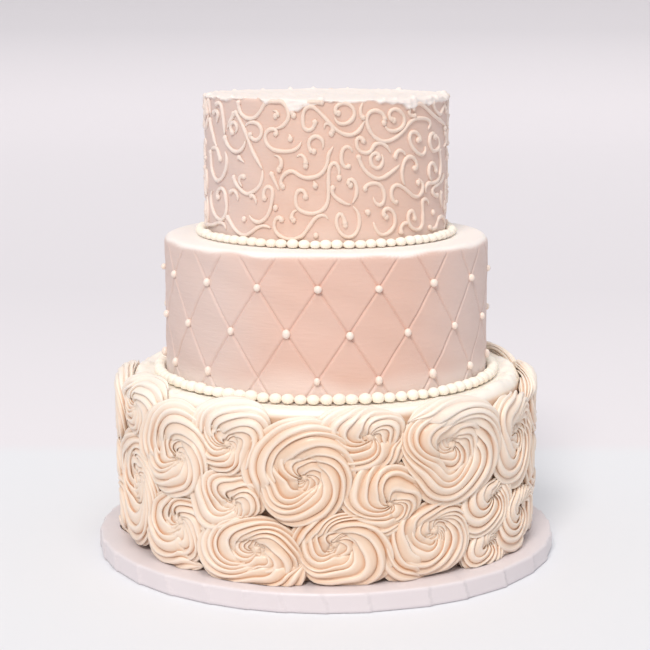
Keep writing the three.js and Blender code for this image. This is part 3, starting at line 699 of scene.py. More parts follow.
def make_drum(sizes, material):
    edge = 1.5 * MM
    radius, top = sizes.drum_radius, sizes.drum_top
    profile = [(0, 0), (radius - 1.2 * MM, 0), (radius - 0.4 * MM, 0.4 * MM)]
    profile += [(radius, height) for height in spaced(0.8 * MM, top - edge, 0.9 * MM)]
    profile += rounded_rim(radius, top, edge, (30, 60, 90))
    profile += [(reach, top) for reach in spaced(radius - edge, 80 * MM, 2.5 * MM)]
    profile.append((0, top))
    bm = spun_tier(profile, DRUM_STEPS)
    piece = add_piece("drum_wrap", bm, material, ["cake_drum"])
    angle, reach, height = polar(mesh_points(piece.data))
    angle = angle % TAU
    random = np.random.default_rng(8)
    pleats = pleat_angles(random)
    # A pleat slants down the edge by up to this many radians.
    lean = random.uniform(0.005, 0.06, len(pleats))
    shifted = angle + (height / top - 0.5) * lean[np.searchsorted(pleats, angle) % len(pleats)]
    index = np.searchsorted(pleats, shifted % TAU) % len(pleats)
    start = pleats[index - 1]
    span = (pleats[index] - start) % TAU
    share = ((shifted - start) % TAU) / span
    # Paper pulled flat between two pleats, each lapped over the next by a millimetre.
    chord = radius * (1 - np.cos(span / 2) / np.cos((share - 0.5) * span))
    lap = 1.0 * MM * (1 - share) ** 2
    near_edge = smooth_step(radius - 14 * MM, radius - 2 * MM, reach)
    pulled_in = reach - near_edge * (chord + lap) * (reach > 1 * MM)
    lowered = height - near_edge * (height > top - edge) * 0.25 * MM * (1 - share)
    height = np.where(height > top / 2, lowered, height)
    set_mesh_points(piece.data, around(angle, pulled_in, height))


def make_bottom_tier(sizes, material):
    radius, top = sizes.bottom_radius, sizes.bottom_top
    profile = tier_profile(radius, sizes.bottom_base, top, 2.5 * MM, 3 * MM, 1.6 * MM)
    bm = spun_tier(profile, BOTTOM_STEPS)
    piece = add_piece("bottom_tier_icing", bm, material, ["bottom_tier"])
    points = mesh_points(piece.data)
    angle, reach, height = polar(points)
    # The palette knife left rings about 6 mm apart on the top.
    on_top = height > top - 0.1 * MM
    sweep = 0.25 * MM * np.sin(reach / (1.9 * MM) + 2 * waves(3, 4, angle))
    height = height - on_top * (0.3 * MM + np.abs(sweep)) * (reach < radius - 5 * MM)
    # Towards the sides the icing is left in lumps between the border and the rosettes.
    beside = smooth_step(0.45, 0.85, np.abs(np.sin(angle - 0.1)))
    mound = np.exp(-((reach - (radius - 6.5 * MM)) / (4.5 * MM)) ** 2)
    lumps = np.array([noise.noise(Vector((x * 140, y * 140, 3))) for x, y, _ in points])
    folds = 2.4 + 1.3 * waves(61, 17, angle) + 2.2 * lumps
    near_top = smooth_step(top - 3 * MM, top, height)
    height = height + near_top * beside * mound * np.maximum(folds, 0) * MM
    points[:, 2] = height
    set_mesh_points(piece.data, points)
    edge = top - 6 * MM
    # Painted shade: the wall deep in the gaps between the rosettes takes some of their painted groove
    # shade, fading out at the top.
    add_values(piece, "sunk", 0.6 - 0.4 * smooth_step(edge, edge + 2 * MM, height))
    # Ivory over the top and the upper wall: partly its white icing, partly painted light from above.
    add_values(piece, "lap", smooth_step(edge, edge + 4 * MM, height))


# ---------- rosettes ----------

class Rosette:
    """One oval swirl on the bottom tier's wall; lengths in metres, its middle at the origin."""

    def __init__(self, row, sizes, spread):
        angle, middle, width, height, eye_right, eye_up, tail, self.layer = row
        self.angle = math.radians(angle)
        self.middle = middle * MM
        self.half = (spread * width * MM / 2, spread * height * MM / 2)
        self.top = height * MM / 2 - 6 * MM
        self.eye = (eye_right * MM, eye_up * MM)
        self.tail = math.radians(tail)
        self.wall = sizes.bottom_radius

    def oval_reach(self, right, up):
        return 1 / math.hypot(right / self.half[0], up / self.half[1])

    def limits(self, others, lowest, highest, over):
        """Straight limits (right, up, distance) against the neighbours, the drum and the rim."""
        found = [(0, 1, min(self.top, highest - self.middle)), (0, -1, self.middle - lowest)]
        for other in others:
            turn = (other.angle - self.angle + 3 * math.pi) % TAU - math.pi
            across, rise = turn * self.wall, other.middle - self.middle
            apart = math.hypot(across, rise)
            if 0 < apart < self.wall:
                right, up = across / apart, rise / apart
                own = self.oval_reach(right, up)
                share = own / (own + other.oval_reach(right, up))
                found.append((right, up, apart * share + over * max(self.layer - other.layer, 0)))
        return found

    def outline(self, limits, directions):
        """Distance from the eye to the outline towards each direction, with its corners softened."""
        right, up = np.cos(directions), np.sin(directions)
        wide, tall = self.half
        a = (right / wide) ** 2 + (up / tall) ** 2
        b = right * self.eye[0] / wide ** 2 + up * self.eye[1] / tall ** 2
        c = (self.eye[0] / wide) ** 2 + (self.eye[1] / tall) ** 2 - 1
        nearness = (a / (np.sqrt(b * b - a * c) - b)) ** 6
        for limit_right, limit_up, distance in limits:
            rate = np.maximum(right * limit_right + up * limit_up, 0)
            spare = distance - self.eye[0] * limit_right - self.eye[1] * limit_up
            nearness = nearness + (rate / spare) ** 6
        return nearness ** (-1 / 6)


def ring_smoothed(values, spread):
    """Running average of a closed row of values, over spread of them to each side."""
    weights = np.hanning(2 * spread + 3)[1:-1]
    padded = np.concatenate([values[-spread:], values, values[:spread]])
    return np.convolve(padded, weights / weights.sum(), mode="valid")


def tooth_section(ridges, random):
    """Angles round the piping with points gathered at the grooves, and how deep each lies, 0 to 1.
    A ridge's lip hangs over the groove on its eye's side, and it slopes away gently on the other."""
    widths = random.uniform(0.55, 1.5, ridges)
    strength = random.uniform(0.7, 1.3, ridges)
    starts = np.cumsum(widths) - widths
    within = np.array([0, 0.06, 0.14, 0.32, 0.6, 0.85])
    depth = np.array([1, 0.42, 0.05, 0, 0.24, 0.64])
    share = (starts[:, None] + widths[:, None] * (within - 0.13 * (1 - depth))[None, :]).ravel()
    depth = np.minimum(strength[:, None] * depth[None, :], 1).ravel()
    depth = np.append(depth, depth[0])
    return -TAU * np.append(share / widths.sum(), 1.0), depth


def spiral_shares(pitch):
    """How far out the piping's outer edge is, as a share of the outline, against the turns left to
    its end: close turns round the eye, wide ones outside, and the last turn along the outline."""
    step = 0.004
    left = np.arange(0, 9, step)
    shares, widths = [1.0], []
    for turns_left in left:
        share = shares[-1]
        local = pitch * (0.26 + 0.74 * smooth_step(0.1, 0.65, share))
        widths.append(local)
        shares.append(share - step * local * smooth_step(0.3, 0.95, turns_left) * 1.05)
        if share < 0.15:
            break
    return left[:len(widths)], np.array(shares[:-1]), np.array(widths)


def piping_path(rosette, outline, directions, pitch, piping):
    """The piping's path at even steps, from the eye outwards: how many rings it has run, its turn
    and heading, how far out its outer edge is (as a share and in metres) and half its width."""
    left, shares, widths = spiral_shares(pitch)
    last = TAU * left[-1]

    def path(turn):
        way = (turn - last + rosette.tail) % TAU
        reach = np.interp(way, np.append(directions, TAU), np.append(outline, outline[0]))
        share = np.interp((last - turn) / TAU, left, shares)
        width = np.interp((last - turn) / TAU, left, widths)
        # Round at the eye, as wide and tall as the outline further out.
        reach = outline.mean() + (reach - outline.mean()) * smooth_step(0.1, 0.7, share)
        edge = reach * share
        return share, edge, np.minimum(piping.overlap * reach * width, 0.49 * edge)

    spin = np.linspace(0, last, 3000)
    _, edge, half = path(spin)
    # Rings are a step apart along the piping, and at most 13 degrees apart where it turns tightly.
    density = np.maximum((edge - half) / piping.step, 1 / math.radians(13))
    travelled = np.concatenate([[0], np.cumsum((density[1:] + density[:-1]) / 2 * np.diff(spin))])
    run = np.linspace(0, travelled[-1], int(travelled[-1]) + 1)
    turn = np.interp(run, travelled, spin)
    return run, turn, turn - last + rosette.tail, *path(turn)


def rosette_points(rosette, limits, piping, seed):
    """Rings of points along the piping, from the eye outwards, and each point's depth."""
    random = np.random.default_rng(seed)
    directions = np.linspace(0, TAU, 360, endpoint=False)
    outline = ring_smoothed(rosette.outline(limits, directions), 34) + piping.lap
    outline = outline * (1 + 0.03 * waves(seed + 70, 3, directions))
    pitch = piping.spacing * random.uniform(0.9, 1.12) / outline.mean()
    run, turn, way, share, edge, half = piping_path(rosette, outline, directions, pitch, piping)

    start_taper = smooth_step(-2, 9, run)
    end_taper = smooth_step(-1, 7, run[-1] - run)
    wobble = 1 + 0.05 * waves(seed, 9, turn / 3) + 0.03 * waves(seed + 50, 23, turn / 3)
    half_width = half * start_taper * end_taper * wobble
    half_height = piping.thickness / 2 * (0.5 + 0.5 * smooth_step(0.2, 0.9, share))
    half_height = half_height * start_taper * end_taper * wobble
    # The piping sinks by 2 mm towards the eye.
    lift = piping.thickness / 2 - 2 * MM * (1 - smooth_step(0.4, 0.95, share))
    lift = lift + rosette.layer * piping.layer * smooth_step(0.1, 0.8, share)
    centre = edge - half * (0.35 + 0.65 * end_taper) + 0.6 * MM * waves(seed + 9, 7, turn / 3)

    section, depth = tooth_section(piping.ridges, random)
    phase = random.uniform(0, TAU) + 0.25 * waves(seed + 20, 8, turn / 3)[:, None]
    twisted = section[None, :] + piping.twist * turn[:, None] + phase
    # The ridges are fine on the thin curl at the eye.
    fading = (0.12 + 0.88 * smooth_step(0.14, 0.56, share)) * (0.55 + 0.45 * end_taper)
    sunk = depth[None, :] * fading[:, None]
    scale = 1 - piping.ridge_depth * sunk
    # A squarish section: the piping is pressed a little flat against the wall.
    flat = (np.abs(np.cos(twisted)) ** 2.3 + np.abs(np.sin(twisted)) ** 2.3) ** (-1 / 2.3)
    out = centre[:, None] + half_width[:, None] * scale * flat * np.cos(twisted)
    stand = lift[:, None] + half_height[:, None] * scale * flat * np.sin(twisted)
    # The underside is pressed nearly flat against the wall, and its points stay apart.
    stand = np.maximum(stand, 0.3 * MM + 0.05 * (stand - 0.3 * MM))
    across = rosette.eye[0] + out * np.cos(way)[:, None]
    up = rosette.eye[1] + out * np.sin(way)[:, None]
    return [capped(rings) for rings in (across, up, stand, sunk)]


def lean_over_rim(height, stand, sizes):
    """Piping that reaches past the tier's edge leans in over it."""
    past = np.maximum(height - (sizes.bottom_top - 6 * MM), 0)
    return stand - RIM_LEAN * past ** 2


def add_bud(bm, rosette, piping, seed):
    """The blob in the eye, where the piping starts; gives its points as (across, up, stand)."""
    random = np.random.default_rng(seed + 400)
    width = piping.bud * random.uniform(0.85, 1.15)
    phase = random.uniform(0, TAU)
    made = bmesh.ops.create_uvsphere(bm, u_segments=30, v_segments=12, radius=1)["verts"]
    ball = np.array([vertex.co for vertex in made])
    turn = np.arctan2(ball[:, 1], ball[:, 0])
    petals = 1 - 0.2 * (0.5 + 0.5 * np.cos(5 * turn + 4 * ball[:, 2] + phase)) ** 2
    across = rosette.eye[0] + width / 2 * petals * ball[:, 0]
    up = rosette.eye[1] + width / 2 * petals * ball[:, 1]
    stand = 4.1 * MM + 4.7 * MM * ball[:, 2] + rosette.layer * 0.2 * piping.layer
    return made, across, up, stand


def make_rosette_mesh(rosette, limits, sizes, piping, seed):
    across, up, stand, sunk = rosette_points(rosette, limits, piping, seed)
    bm = bmesh.new()
    layer = bm.verts.layers.float.new("sunk")
    lap = bm.verts.layers.float.new("lap")
    made = list(add_grid(bm, across.shape[1] - 1, across.shape[0] - 1, np.stack(
        [across, up, stand], axis=-1)))
    bud, *bud_place = add_bud(bm, rosette, piping, seed)
    made += bud
    across, up, stand, sunk = (
        np.append(turns, blob) for turns, blob in zip(
            (across, up, stand, sunk), (*bud_place, np.full(len(bud), BUD_DEPTH))))
    height = np.maximum(rosette.middle + up, sizes.drum_top + 0.2 * MM)
    stand = lean_over_rim(height, stand, sizes)
    points = around(rosette.angle + across / rosette.wall, rosette.wall + stand, height)
    edge = sizes.bottom_top
    # Painted light: the piping is painted ivory towards the tier's top edge, where the light from
    # above falls on it.
    paler = 0.65 * smooth_step(edge - 18 * MM, edge + 3 * MM, height)
    for vertex, point, value, pale in zip(made, points, sunk, paler):
        vertex.co = point
        vertex[layer] = value
        vertex[lap] = pale
    close_and_orient(bm)
    return bm


def make_rosettes(sizes, piping, material):
    ovals = [Rosette(row, sizes, piping.spread) for row in ROSETTES]
    backs = [Rosette((row[0] + 180, *row[1:]), sizes, piping.spread) for row in ROSETTES]
    lowest, highest = sizes.bottom_base + 0.6 * MM, sizes.bottom_top + 4 * MM
    for index, oval in enumerate(ovals):
        limits = oval.limits(ovals + backs, lowest, highest, piping.over)
        bm = make_rosette_mesh(oval, limits, sizes, piping, ROSETTE_SEED + index)
        turned = bm.copy()
        bmesh.ops.rotate(
            turned, verts=turned.verts, cent=(0, 0, 0), matrix=Matrix.Rotation(math.pi, 3, "Z"))
        for half, shape in enumerate((bm, turned)):
            name = f"rosette_{index + 1 + half * len(ovals):02d}"
            add_piece(f"piped_{name}", shape, material, [name])


# ---------- quilted middle tier ----------

def net_sheet(quilt, divisions, rows):
    """A flat sheet of slanting squares whose lines gather along the grooves. A point's x is its
    column and its y its row, counted upwards from the upper row of pearls."""
    bm = bmesh.new()
    bmesh.ops.create_grid(bm, x_segments=divisions, y_segments=divisions, size=1)
    for vertex in bm.verts:
        place = [
            0.5 + 0.5 * math.copysign(1 - (1 - abs(t)) ** 1.7, t) for t in vertex.co.xy]
        vertex.co = ((place[0] + place[1]) / 2, place[0] - place[1], 0)
    square = everything(bm)
    for row in rows:
        moved = only(BMVert, bmesh.ops.duplicate(bm, geom=square)["geom"])
        bmesh.ops.translate(bm, verts=moved, vec=(0.5 * (row % 2), row, 0))
    bmesh.ops.delete(bm, geom=square, context="VERTS")
    bmesh.ops.spin(
        bm, geom=everything(bm), cent=(0, 0, 0), axis=(0, 0, 1), dvec=(1, 0, 0), angle=0,
        steps=quilt.columns - 1, use_duplicate=True)
    bmesh.ops.remove_doubles(bm, verts=bm.verts, dist=1e-4)
    return bm


def groove_distance(column, row, quilt, radius):
    """Distance along the wall from each point to the nearest groove."""
    column_width = TAU * radius / quilt.columns
    scale = 1 / math.hypot(1 / column_width, 1 / (2 * quilt.row_gap))
    a = column + row / 2
    b = column - row / 2
    return scale * np.minimum(np.abs(a - np.round(a)), np.abs(b - np.round(b)))


def net_angle(column, quilt):
    """Angle of a column of the net, in radians; the columns are a little closer at the front."""
    angle = math.radians(quilt.first_column) + TAU * column / quilt.columns
    return angle - 0.035 * np.sin(angle)


def quilted_points(column, row, sizes, quilt, rim):
    """Points of the quilted wall and its rounded rim at the given places on the net."""
    radius, base, top = sizes.middle_radius, sizes.middle_base, sizes.middle_top
    angle = net_angle(column, quilt)
    rise = quilt.upper_row + quilt.row_gap * row
    turn = np.clip((rise - (top - rim)) / rim, 0, math.pi / 2)
    distance = groove_distance(column, row, quilt, radius)
    press = quilt.groove_depth * np.exp(-(distance / (quilt.groove_width * 0.32)) ** 2)
    lip = 0.12 * MM * np.exp(-((distance - quilt.groove_width * 0.75) / (0.5 * MM)) ** 2)
    fade = 1 - smooth_step(top - 6 * MM, top - 3 * MM, rise)
    unevenness = 0.35 * MM * waves(21, 5, angle) + 0.3 * MM * waves(22, 9, angle + 25 * rise)
    stand = fade * (lip - press) + unevenness * smooth_step(base, base + 12 * MM, rise)
    reach = radius - rim * (1 - np.cos(turn)) + stand * np.cos(turn)
    height = np.minimum(rise, top - rim) + rim * np.sin(turn)
    return around(angle, reach, height)


def make_middle_tier(sizes, quilt, material):
    rim = 4.5 * MM
    base, top = sizes.middle_base, sizes.middle_top
    lowest = (base - quilt.upper_row) / quilt.row_gap
    highest = (top - rim - quilt.upper_row + rim * math.pi / 2) / quilt.row_gap
    bm = net_sheet(quilt, 24, range(math.floor(lowest) - 1, math.ceil(highest) + 1))
    for height, outer in ((lowest, False), (highest, True)):
        bmesh.ops.bisect_plane(
            bm, geom=everything(bm), plane_co=(0, height, 0), plane_no=(0, 1, 0),
            clear_outer=outer, clear_inner=not outer)
    column, row, _ = np.array([vertex.co for vertex in bm.verts]).T
    for vertex, point in zip(bm.verts, quilted_points(column, row, sizes, quilt, rim)):
        vertex.co = point
    # The sheet's two ends meet here, less exactly than a spun seam does.
    bmesh.ops.remove_doubles(bm, verts=bm.verts, dist=20 * MERGE_DISTANCE)
    ends = [edge for edge in bm.edges if edge.is_boundary]
    close_end(bm, [edge for edge in ends if edge.verts[0].co.z > top - rim / 2], top, (94, 86, 70))
    close_end(bm, [edge for edge in ends if edge.verts[0].co.z < base + 1 * MM], base, (98,))
    bmesh.ops.recalc_face_normals(bm, faces=bm.faces)
    piece = add_piece("middle_tier_icing", bm, material, ["middle_tier"])
    angle, _, height = polar(mesh_points(piece.data))
    edge = top - (3.4 + 0.9 * waves(23, 13, angle)) * MM
    on_rim = 0.95 * smooth_step(edge, edge + 2.2 * MM, height)
    # White icing from the border is smeared thinly up the foot of the wall.
    smear = base + (20 + 6 * waves(24, 7, angle)) * MM
    at_foot = 0.5 * smooth_step(smear, base + 2 * MM, height)
    add_values(piece, "lap", on_rim + at_foot)


def close_end(bm, edges, height, reaches):
    """Runs a ring of edges inwards over the given radii (mm) and closes it on the axis."""
    for reach in reaches:
        grown = bmesh.ops.extrude_edge_only(bm, edges=edges)["geom"]
        edges = only(BMEdge, grown)
        for vertex in only(BMVert, grown):
            flat = vertex.co.xy.normalized() * reach * MM
            vertex.co = (flat.x, flat.y, height)
    grown = bmesh.ops.extrude_edge_only(bm, edges=edges)["geom"]
    bmesh.ops.pointmerge(bm, verts=only(BMVert, grown), merge_co=(0, 0, height))


def pearl_places(quilt):
    """Angle, height and row of each pearl; one crossing of the lower row is bare."""
    for row in range(3):
        for column in range(quilt.columns):
            if (column, row) != (quilt.columns - 2, 2):
                height = quilt.upper_row - quilt.row_gap * row
                yield net_angle(column + row / 2, quilt), height, row


def add_bead(bm, angle, reach, height, size, segments=12, rings=8):
    """A round bead of the given (across, up, stand) size; its middle is at that place."""
    place = Vector(around(angle, reach, height))
    turn = Matrix.Rotation(angle, 4, "Z")
    matrix = Matrix.Translation(place) @ turn @ Matrix.Diagonal(
        (size[0] / 2, size[2] / 2, size[1] / 2, 1))
    return bmesh.ops.create_uvsphere(
        bm, u_segments=segments, v_segments=rings, radius=1, matrix=matrix)["verts"]


def make_pearls(sizes, quilt, material):
    random = np.random.default_rng(31)
    bm = bmesh.new()
    for angle, height, row in pearl_places(quilt):
        width = quilt.pearl * random.uniform(0.84, 1.1)
        tall = width * (random.uniform(0.93, 1.1) + 0.07 * row)
        slip = random.uniform(-0.6, 0.6, 2) * MM
        add_bead(bm, angle + slip[0] / sizes.middle_radius, sizes.middle_radius + 0.6 * MM,
                 height + slip[1], (width, tall, width * 0.92))
    close_and_orient(bm)
    add_piece("quilt_pearls", bm, material, ["middle_tier"])


# ---------- bead borders ----------

def make_bead_border(name, node, radius, base, beads, size, material):
    random = np.random.default_rng(beads)
    across, up = size
    ring = radius + 0.5 * MM + across / 2
    bm = bmesh.new()
    add_bead(bm, 0, ring, base + up * 0.46, (across * 1.06, up * 1.08, across))
    repeat_round(bm, beads)
    close_and_orient(bm)
    piece = add_piece(name, bm, material, [node])
    angle, reach, height = polar(mesh_points(piece.data))
    index = np.round(angle * beads / TAU).astype(int) % beads
    middle = TAU * index / beads
    grow = random.uniform(0.92, 1.06, beads)[index]
    shift = random.uniform(-0.07, 0.07, beads)[index] * TAU / beads
    tall = random.uniform(0.92, 1.05, beads)[index]
    turn = (angle - middle + math.pi) % TAU - math.pi
    # Towards the sides the beads were piped faster and run into each other.
    melted = smooth_step(0.4, 0.9, np.abs(np.sin(middle - 0.12)))
    turn = turn * (1 + 0.3 * melted)
    reach = ring + (reach - ring) * grow
    height = base + (height - base) * grow * tall
    set_mesh_points(piece.data, around(
        middle + shift + turn * grow, reach, np.maximum(height, base)))


# ---------- top tier ----------

def top_tier_profile(radius, base, top, rim):
    """Profile of the top tier, with finer steps where its ragged lip will lie."""
    profile = [(0, base), (radius - 0.1 * MM, base), (radius, base)]
    profile += [(radius, height) for height in spaced(base, top - 15 * MM, 1.9 * MM)]
    profile += [(radius, height) for height in spaced(top - 15 * MM, top - rim, 0.6 * MM)]
    profile += rounded_rim(radius, top, rim, range(15, 91, 15))
    profile += [(reach, top) for reach in spaced(radius - rim, 60 * MM, 0.9 * MM)]
    profile += [(reach, top) for reach in spaced(60 * MM, 0, 2.5 * MM)]
    return profile


def lip_cover(angle, reach, height, radius, top):
    """How far white icing covers each place on the top tier, from 0 to 1."""
    ragged = 0.3 * waves(42, 23, angle) + 0.45 * waves(43, 61, angle)
    hanging = np.interp((np.degrees(angle) + 90) % 180 - 90, *zip(*LIP_EDGE))
    lower_edge = top - (hanging + 0.8 + ragged) * MM
    # The top itself is covered all over, also where the lip stops short of the edge.
    return np.maximum(
        smooth_step(-0.5 * MM, 0.6 * MM, height - lower_edge),
        smooth_step(radius - 1 * MM, radius - 2.6 * MM, reach))


def make_top_tier(sizes, material):
    radius, base, top = sizes.top_radius, sizes.top_base, sizes.top_top
    bm = spun_tier(top_tier_profile(radius, base, top, 3 * MM), TOP_STEPS)
    piece = add_piece("top_tier_icing", bm, material, ["top_tier"])
    points = mesh_points(piece.data)
    angle, reach, height = polar(points)
    lap = lip_cover(angle, reach, height, radius, top)
    thickness = (1.3 + 0.5 * waves(44, 17, angle) + 0.35 * waves(45, 60, angle)) * MM
    on_wall = smooth_step(radius - 4 * MM, radius - 1 * MM, reach)
    rough = np.array([
        noise.noise(Vector((a * 11, r * 400, h * 500)))
        for a, r, h in zip(np.sin(angle) + 2 * np.cos(angle), reach, height)]) * 0.7 * MM
    unevenness = 0.3 * MM * waves(46, 4, angle) + 0.25 * MM * waves(47, 8, angle + 30 * height)
    swollen = reach + (lap * (thickness + rough) + (1 - lap) * unevenness) * on_wall
    # Small peaks stand where the knife lifted off the rim, and its rings run over the top.
    crest = np.maximum(waves(48, 38, angle) + 0.5 * waves(49, 90, angle) - 0.55, 0)
    peak = np.minimum(2 * crest, 1.7) * MM * np.exp(-((reach - (radius - 2 * MM)) / (2 * MM)) ** 2)
    swirl = 0.5 * MM * np.sin(reach / (2.4 * MM) + 1.5 * waves(50, 3, angle))
    on_top = height > top - 1.2 * MM
    inner = smooth_step(radius - 3 * MM, radius - 9 * MM, reach)
    rough = rough * smooth_step(5 * MM, 30 * MM, reach)
    raised = height + on_top * (peak + inner * (swirl - 0.6 * MM) + rough * 0.8 - 0.4 * MM)
    off_axis = (reach > 1 * MM)[:, None]
    set_mesh_points(piece.data, np.where(off_axis, around(angle, swollen, raised), points))
    smear = base + (15 + 5 * waves(51, 6, angle)) * MM
    add_values(piece, "lap", lap + 0.3 * smooth_step(smear, base + 2 * MM, height))


def seen_on_tier(places, radius):
    """Angle and height where a line of sight through each place in the drawing meets the tier."""
    places = np.array(places, dtype=float) / DRAWING_SCALE + DRAWING_CORNER
    view = math.tan(math.radians(CAMERA_WIDTH / 2)) * (places - FRAME_MIDDLE) / FRAME_MIDDLE
    down = math.radians(CAMERA_DIP)
    along = np.array([
        view[:, 0], math.cos(down) - view[:, 1] * math.sin(down),
        -math.sin(down) - view[:, 1] * math.cos(down)])
    eye = np.array(CAMERA_PLACE) * MM
    a = along[0] ** 2 + along[1] ** 2
    b = along[0] * eye[0] + along[1] * eye[1]
    c = eye[0] ** 2 + eye[1] ** 2 - radius ** 2
    reach = (-b - np.sqrt(np.maximum(b * b - a * c, 0))) / a
    x, y, z = eye[:, None] + reach * along
    return np.arctan2(x, -y), z


def stroke_line(points):
    """A smooth curve through the points of a stroke: distances (across, up), headings and how far
    each place is from the start, at even steps."""
    ends = np.vstack([2 * points[0] - points[1], points, 2 * points[-1] - points[-2]])
    fine = []
    for before, start, end, after in zip(ends, ends[1:], ends[2:], ends[3:]):
        t = np.linspace(0, 1, 12, endpoint=False)[:, None]
        fine.append(0.5 * (2 * start + (end - before) * t
                           + (2 * before - 5 * start + 4 * end - after) * t ** 2
                           + (3 * start - before - 3 * end + after) * t ** 3))
    fine = np.vstack([*fine, points[-1:]])
    run = np.append(0, np.cumsum(np.hypot(*np.diff(fine, axis=0).T)))
    steps = np.linspace(0, run[-1], max(4, round(run[-1] / STROKE_STEP)) + 1)
    across, up = (np.interp(steps, run, fine[:, axis]) for axis in (0, 1))
    return across, up, np.unwrap(np.arctan2(np.gradient(up), np.gradient(across))), steps


def add_stroke(bm, points, radius, piping, seed, shift):
    """A round piped cord with a blob where it starts and a thin tail."""
    across, up, heading, run = stroke_line(points)
    left = run[-1] - run
    blob = 1 + 0.75 * np.exp(-(run / (2.2 * MM)) ** 2)
    tail = 0.5 + 0.5 * smooth_step(0, 7 * MM, left)
    wobble = 1 + 0.1 * waves(seed, 6, run / (12 * MM))
    # Both ends are rounded over a little more than a millimetre.
    ends = np.clip(run / (1.3 * MM) + 0.04, 0, 1) * np.clip(left / (1.3 * MM) + 0.04, 0, 1)
    size = blob * tail * wobble * np.sqrt(1 - (1 - ends) ** 2)
    section = np.linspace(0, TAU, 9)
    side = piping.cord / 2 * size[:, None] * np.cos(section)[None, :]
    middle = 0.3 * MM
    stand = middle + (piping.cord_stand - middle) * size[:, None] * np.sin(section)[None, :]
    angle = (across[:, None] - side * np.sin(heading)[:, None]) / radius + shift
    height = up[:, None] + side * np.cos(heading)[:, None]
    rings = np.broadcast_arrays(angle, radius + np.maximum(stand, -0.6 * MM), height)
    add_grid(bm, 8, len(run) + 1, around(*map(capped, rings)))


def make_scrolls(sizes, piping, material):
    """The scrolls of the front half, those of the middle again at the sides, and all that once more
    behind."""
    radius, highest = sizes.top_radius, sizes.top_top - 2.2 * MM
    bm = bmesh.new()
    for index, row in enumerate(STROKES):
        angle, height = seen_on_tier(row, radius)
        height = np.minimum(height, highest)
        in_front = np.abs(angle) < math.radians(SCROLLS_END)
        points = np.column_stack([angle * radius, height])[in_front]
        if len(points) > 2:
            add_stroke(bm, points, radius, piping, SCROLL_SEED + index, 0)
        if np.abs(angle).max() < math.radians(MIDDLE_SCROLLS):
            add_stroke(bm, points, radius, piping, SCROLL_SEED + index, math.pi / 2)
    for angle, height in zip(*seen_on_tier(DOTS, radius)):
        height = min(height, highest)
        for shift in (0, math.pi / 2) if abs(angle) < math.radians(MIDDLE_DOTS) else (0,):
            add_bead(bm, angle + shift, radius + 0.5 * MM, height,
                     (piping.dot, 1.1 * piping.dot, 0.8 * piping.dot), 10, 6)
    repeat_round(bm, 2)
    close_and_orient(bm)
    add_piece("top_tier_scrolls", bm, material, ["top_tier"])


# ---------- stage ----------

def make_floor(colours):
    """A paper floor that turns up all round, far behind the camera in every view."""
    bm = bmesh.new()
    rim = [(0, 0), (1, 0), (4, 0), (4.6, 0.1), (5, 0.4), (5.1, 1.4)]
    spin_profile(bm, rim, TAU, 96, whole=True)
    close_and_orient(bm)
    floor = new_object("studio_floor", bm, floor_paper(colours))


def add_sun(name, azimuth, elevation, strength, softness, tint=(1, 1, 1)):
    """A large even light; its azimuth is 0 at the front and grows to the right."""
    light = bpy.data.lights.new(name, "SUN")
    light.energy = strength
    light.angle = math.radians(softness)
    light.color = tint
    lamp = bpy.data.objects.new(name, light)
    turn, rise = math.radians(azimuth), math.radians(elevation)
    towards = Vector(around(turn, math.cos(rise), math.sin(rise)))
    lamp.rotation_euler = towards.to_track_quat("Z", "Y").to_euler()
    bpy.context.scene.collection.objects.link(lamp)


def make_camera():
    data = bpy.data.cameras.new("camera")
    data.sensor_width = CAMERA_SENSOR
    data.lens = CAMERA_SENSOR / 2 / math.tan(math.radians(CAMERA_WIDTH / 2))
    data.clip_start = 0.01
    camera = bpy.data.objects.new("camera", data)
    camera.location = Vector(CAMERA_PLACE) * MM
    camera.rotation_euler = (math.radians(90 - CAMERA_DIP), 0, 0)
    bpy.context.scene.collection.objects.link(camera)
    bpy.context.scene.camera = camera


def make_world():
    world = bpy.data.worlds.new("studio")
    world.use_nodes = True
    world.node_tree.nodes.clear()
    shade = add_node(world.node_tree, "ShaderNodeBackground", {
        "Color": (0.975, 0.975, 1.0, 1), "Strength": 0.55})
    add_node(world.node_tree, "ShaderNodeOutputWorld", {"Surface": shade.outputs["Background"]})
    bpy.context.scene.world = world
    bpy.context.scene.view_settings.view_transform = "Standard"
    bpy.context.scene.view_settings.look = "None"


# ---------- operators and panel ----------

class CAKE_OT_drum(bpy.types.Operator):
    """Wrap the drum in pleated paper"""
    bl_idname = "cake.drum"
    bl_label = "Drum"

    def execute(self, context):
        scene = context.scene
        make_drum(scene.cake_tiers, drum_wrap(scene.cake_colours))
        return {"FINISHED"}


class CAKE_OT_bottom_tier(bpy.types.Operator):
    """Ice the bottom tier and pipe its rosettes"""
    bl_idname = "cake.bottom_tier"
    bl_label = "Bottom Tier and Rosettes"

    def execute(self, context):
        scene = context.scene
        icing = rosette_buttercream(scene.cake_colours)
        make_bottom_tier(scene.cake_tiers, icing)
        make_rosettes(scene.cake_tiers, scene.cake_rosettes, icing)
        return {"FINISHED"}


class CAKE_OT_middle_tier(bpy.types.Operator):
    """Ice and quilt the middle tier and set its pearls"""
    bl_idname = "cake.middle_tier"
    bl_label = "Quilted Tier and Pearls"

    def execute(self, context):
        scene = context.scene
        colours = scene.cake_colours
        icing = rimmed_buttercream(
            "Quilted Blush Buttercream", colours.blush, colours.white, colours)
        make_middle_tier(scene.cake_tiers, scene.cake_quilt, icing)
        make_pearls(scene.cake_tiers, scene.cake_quilt, pearl_sugar(colours))
        return {"FINISHED"}


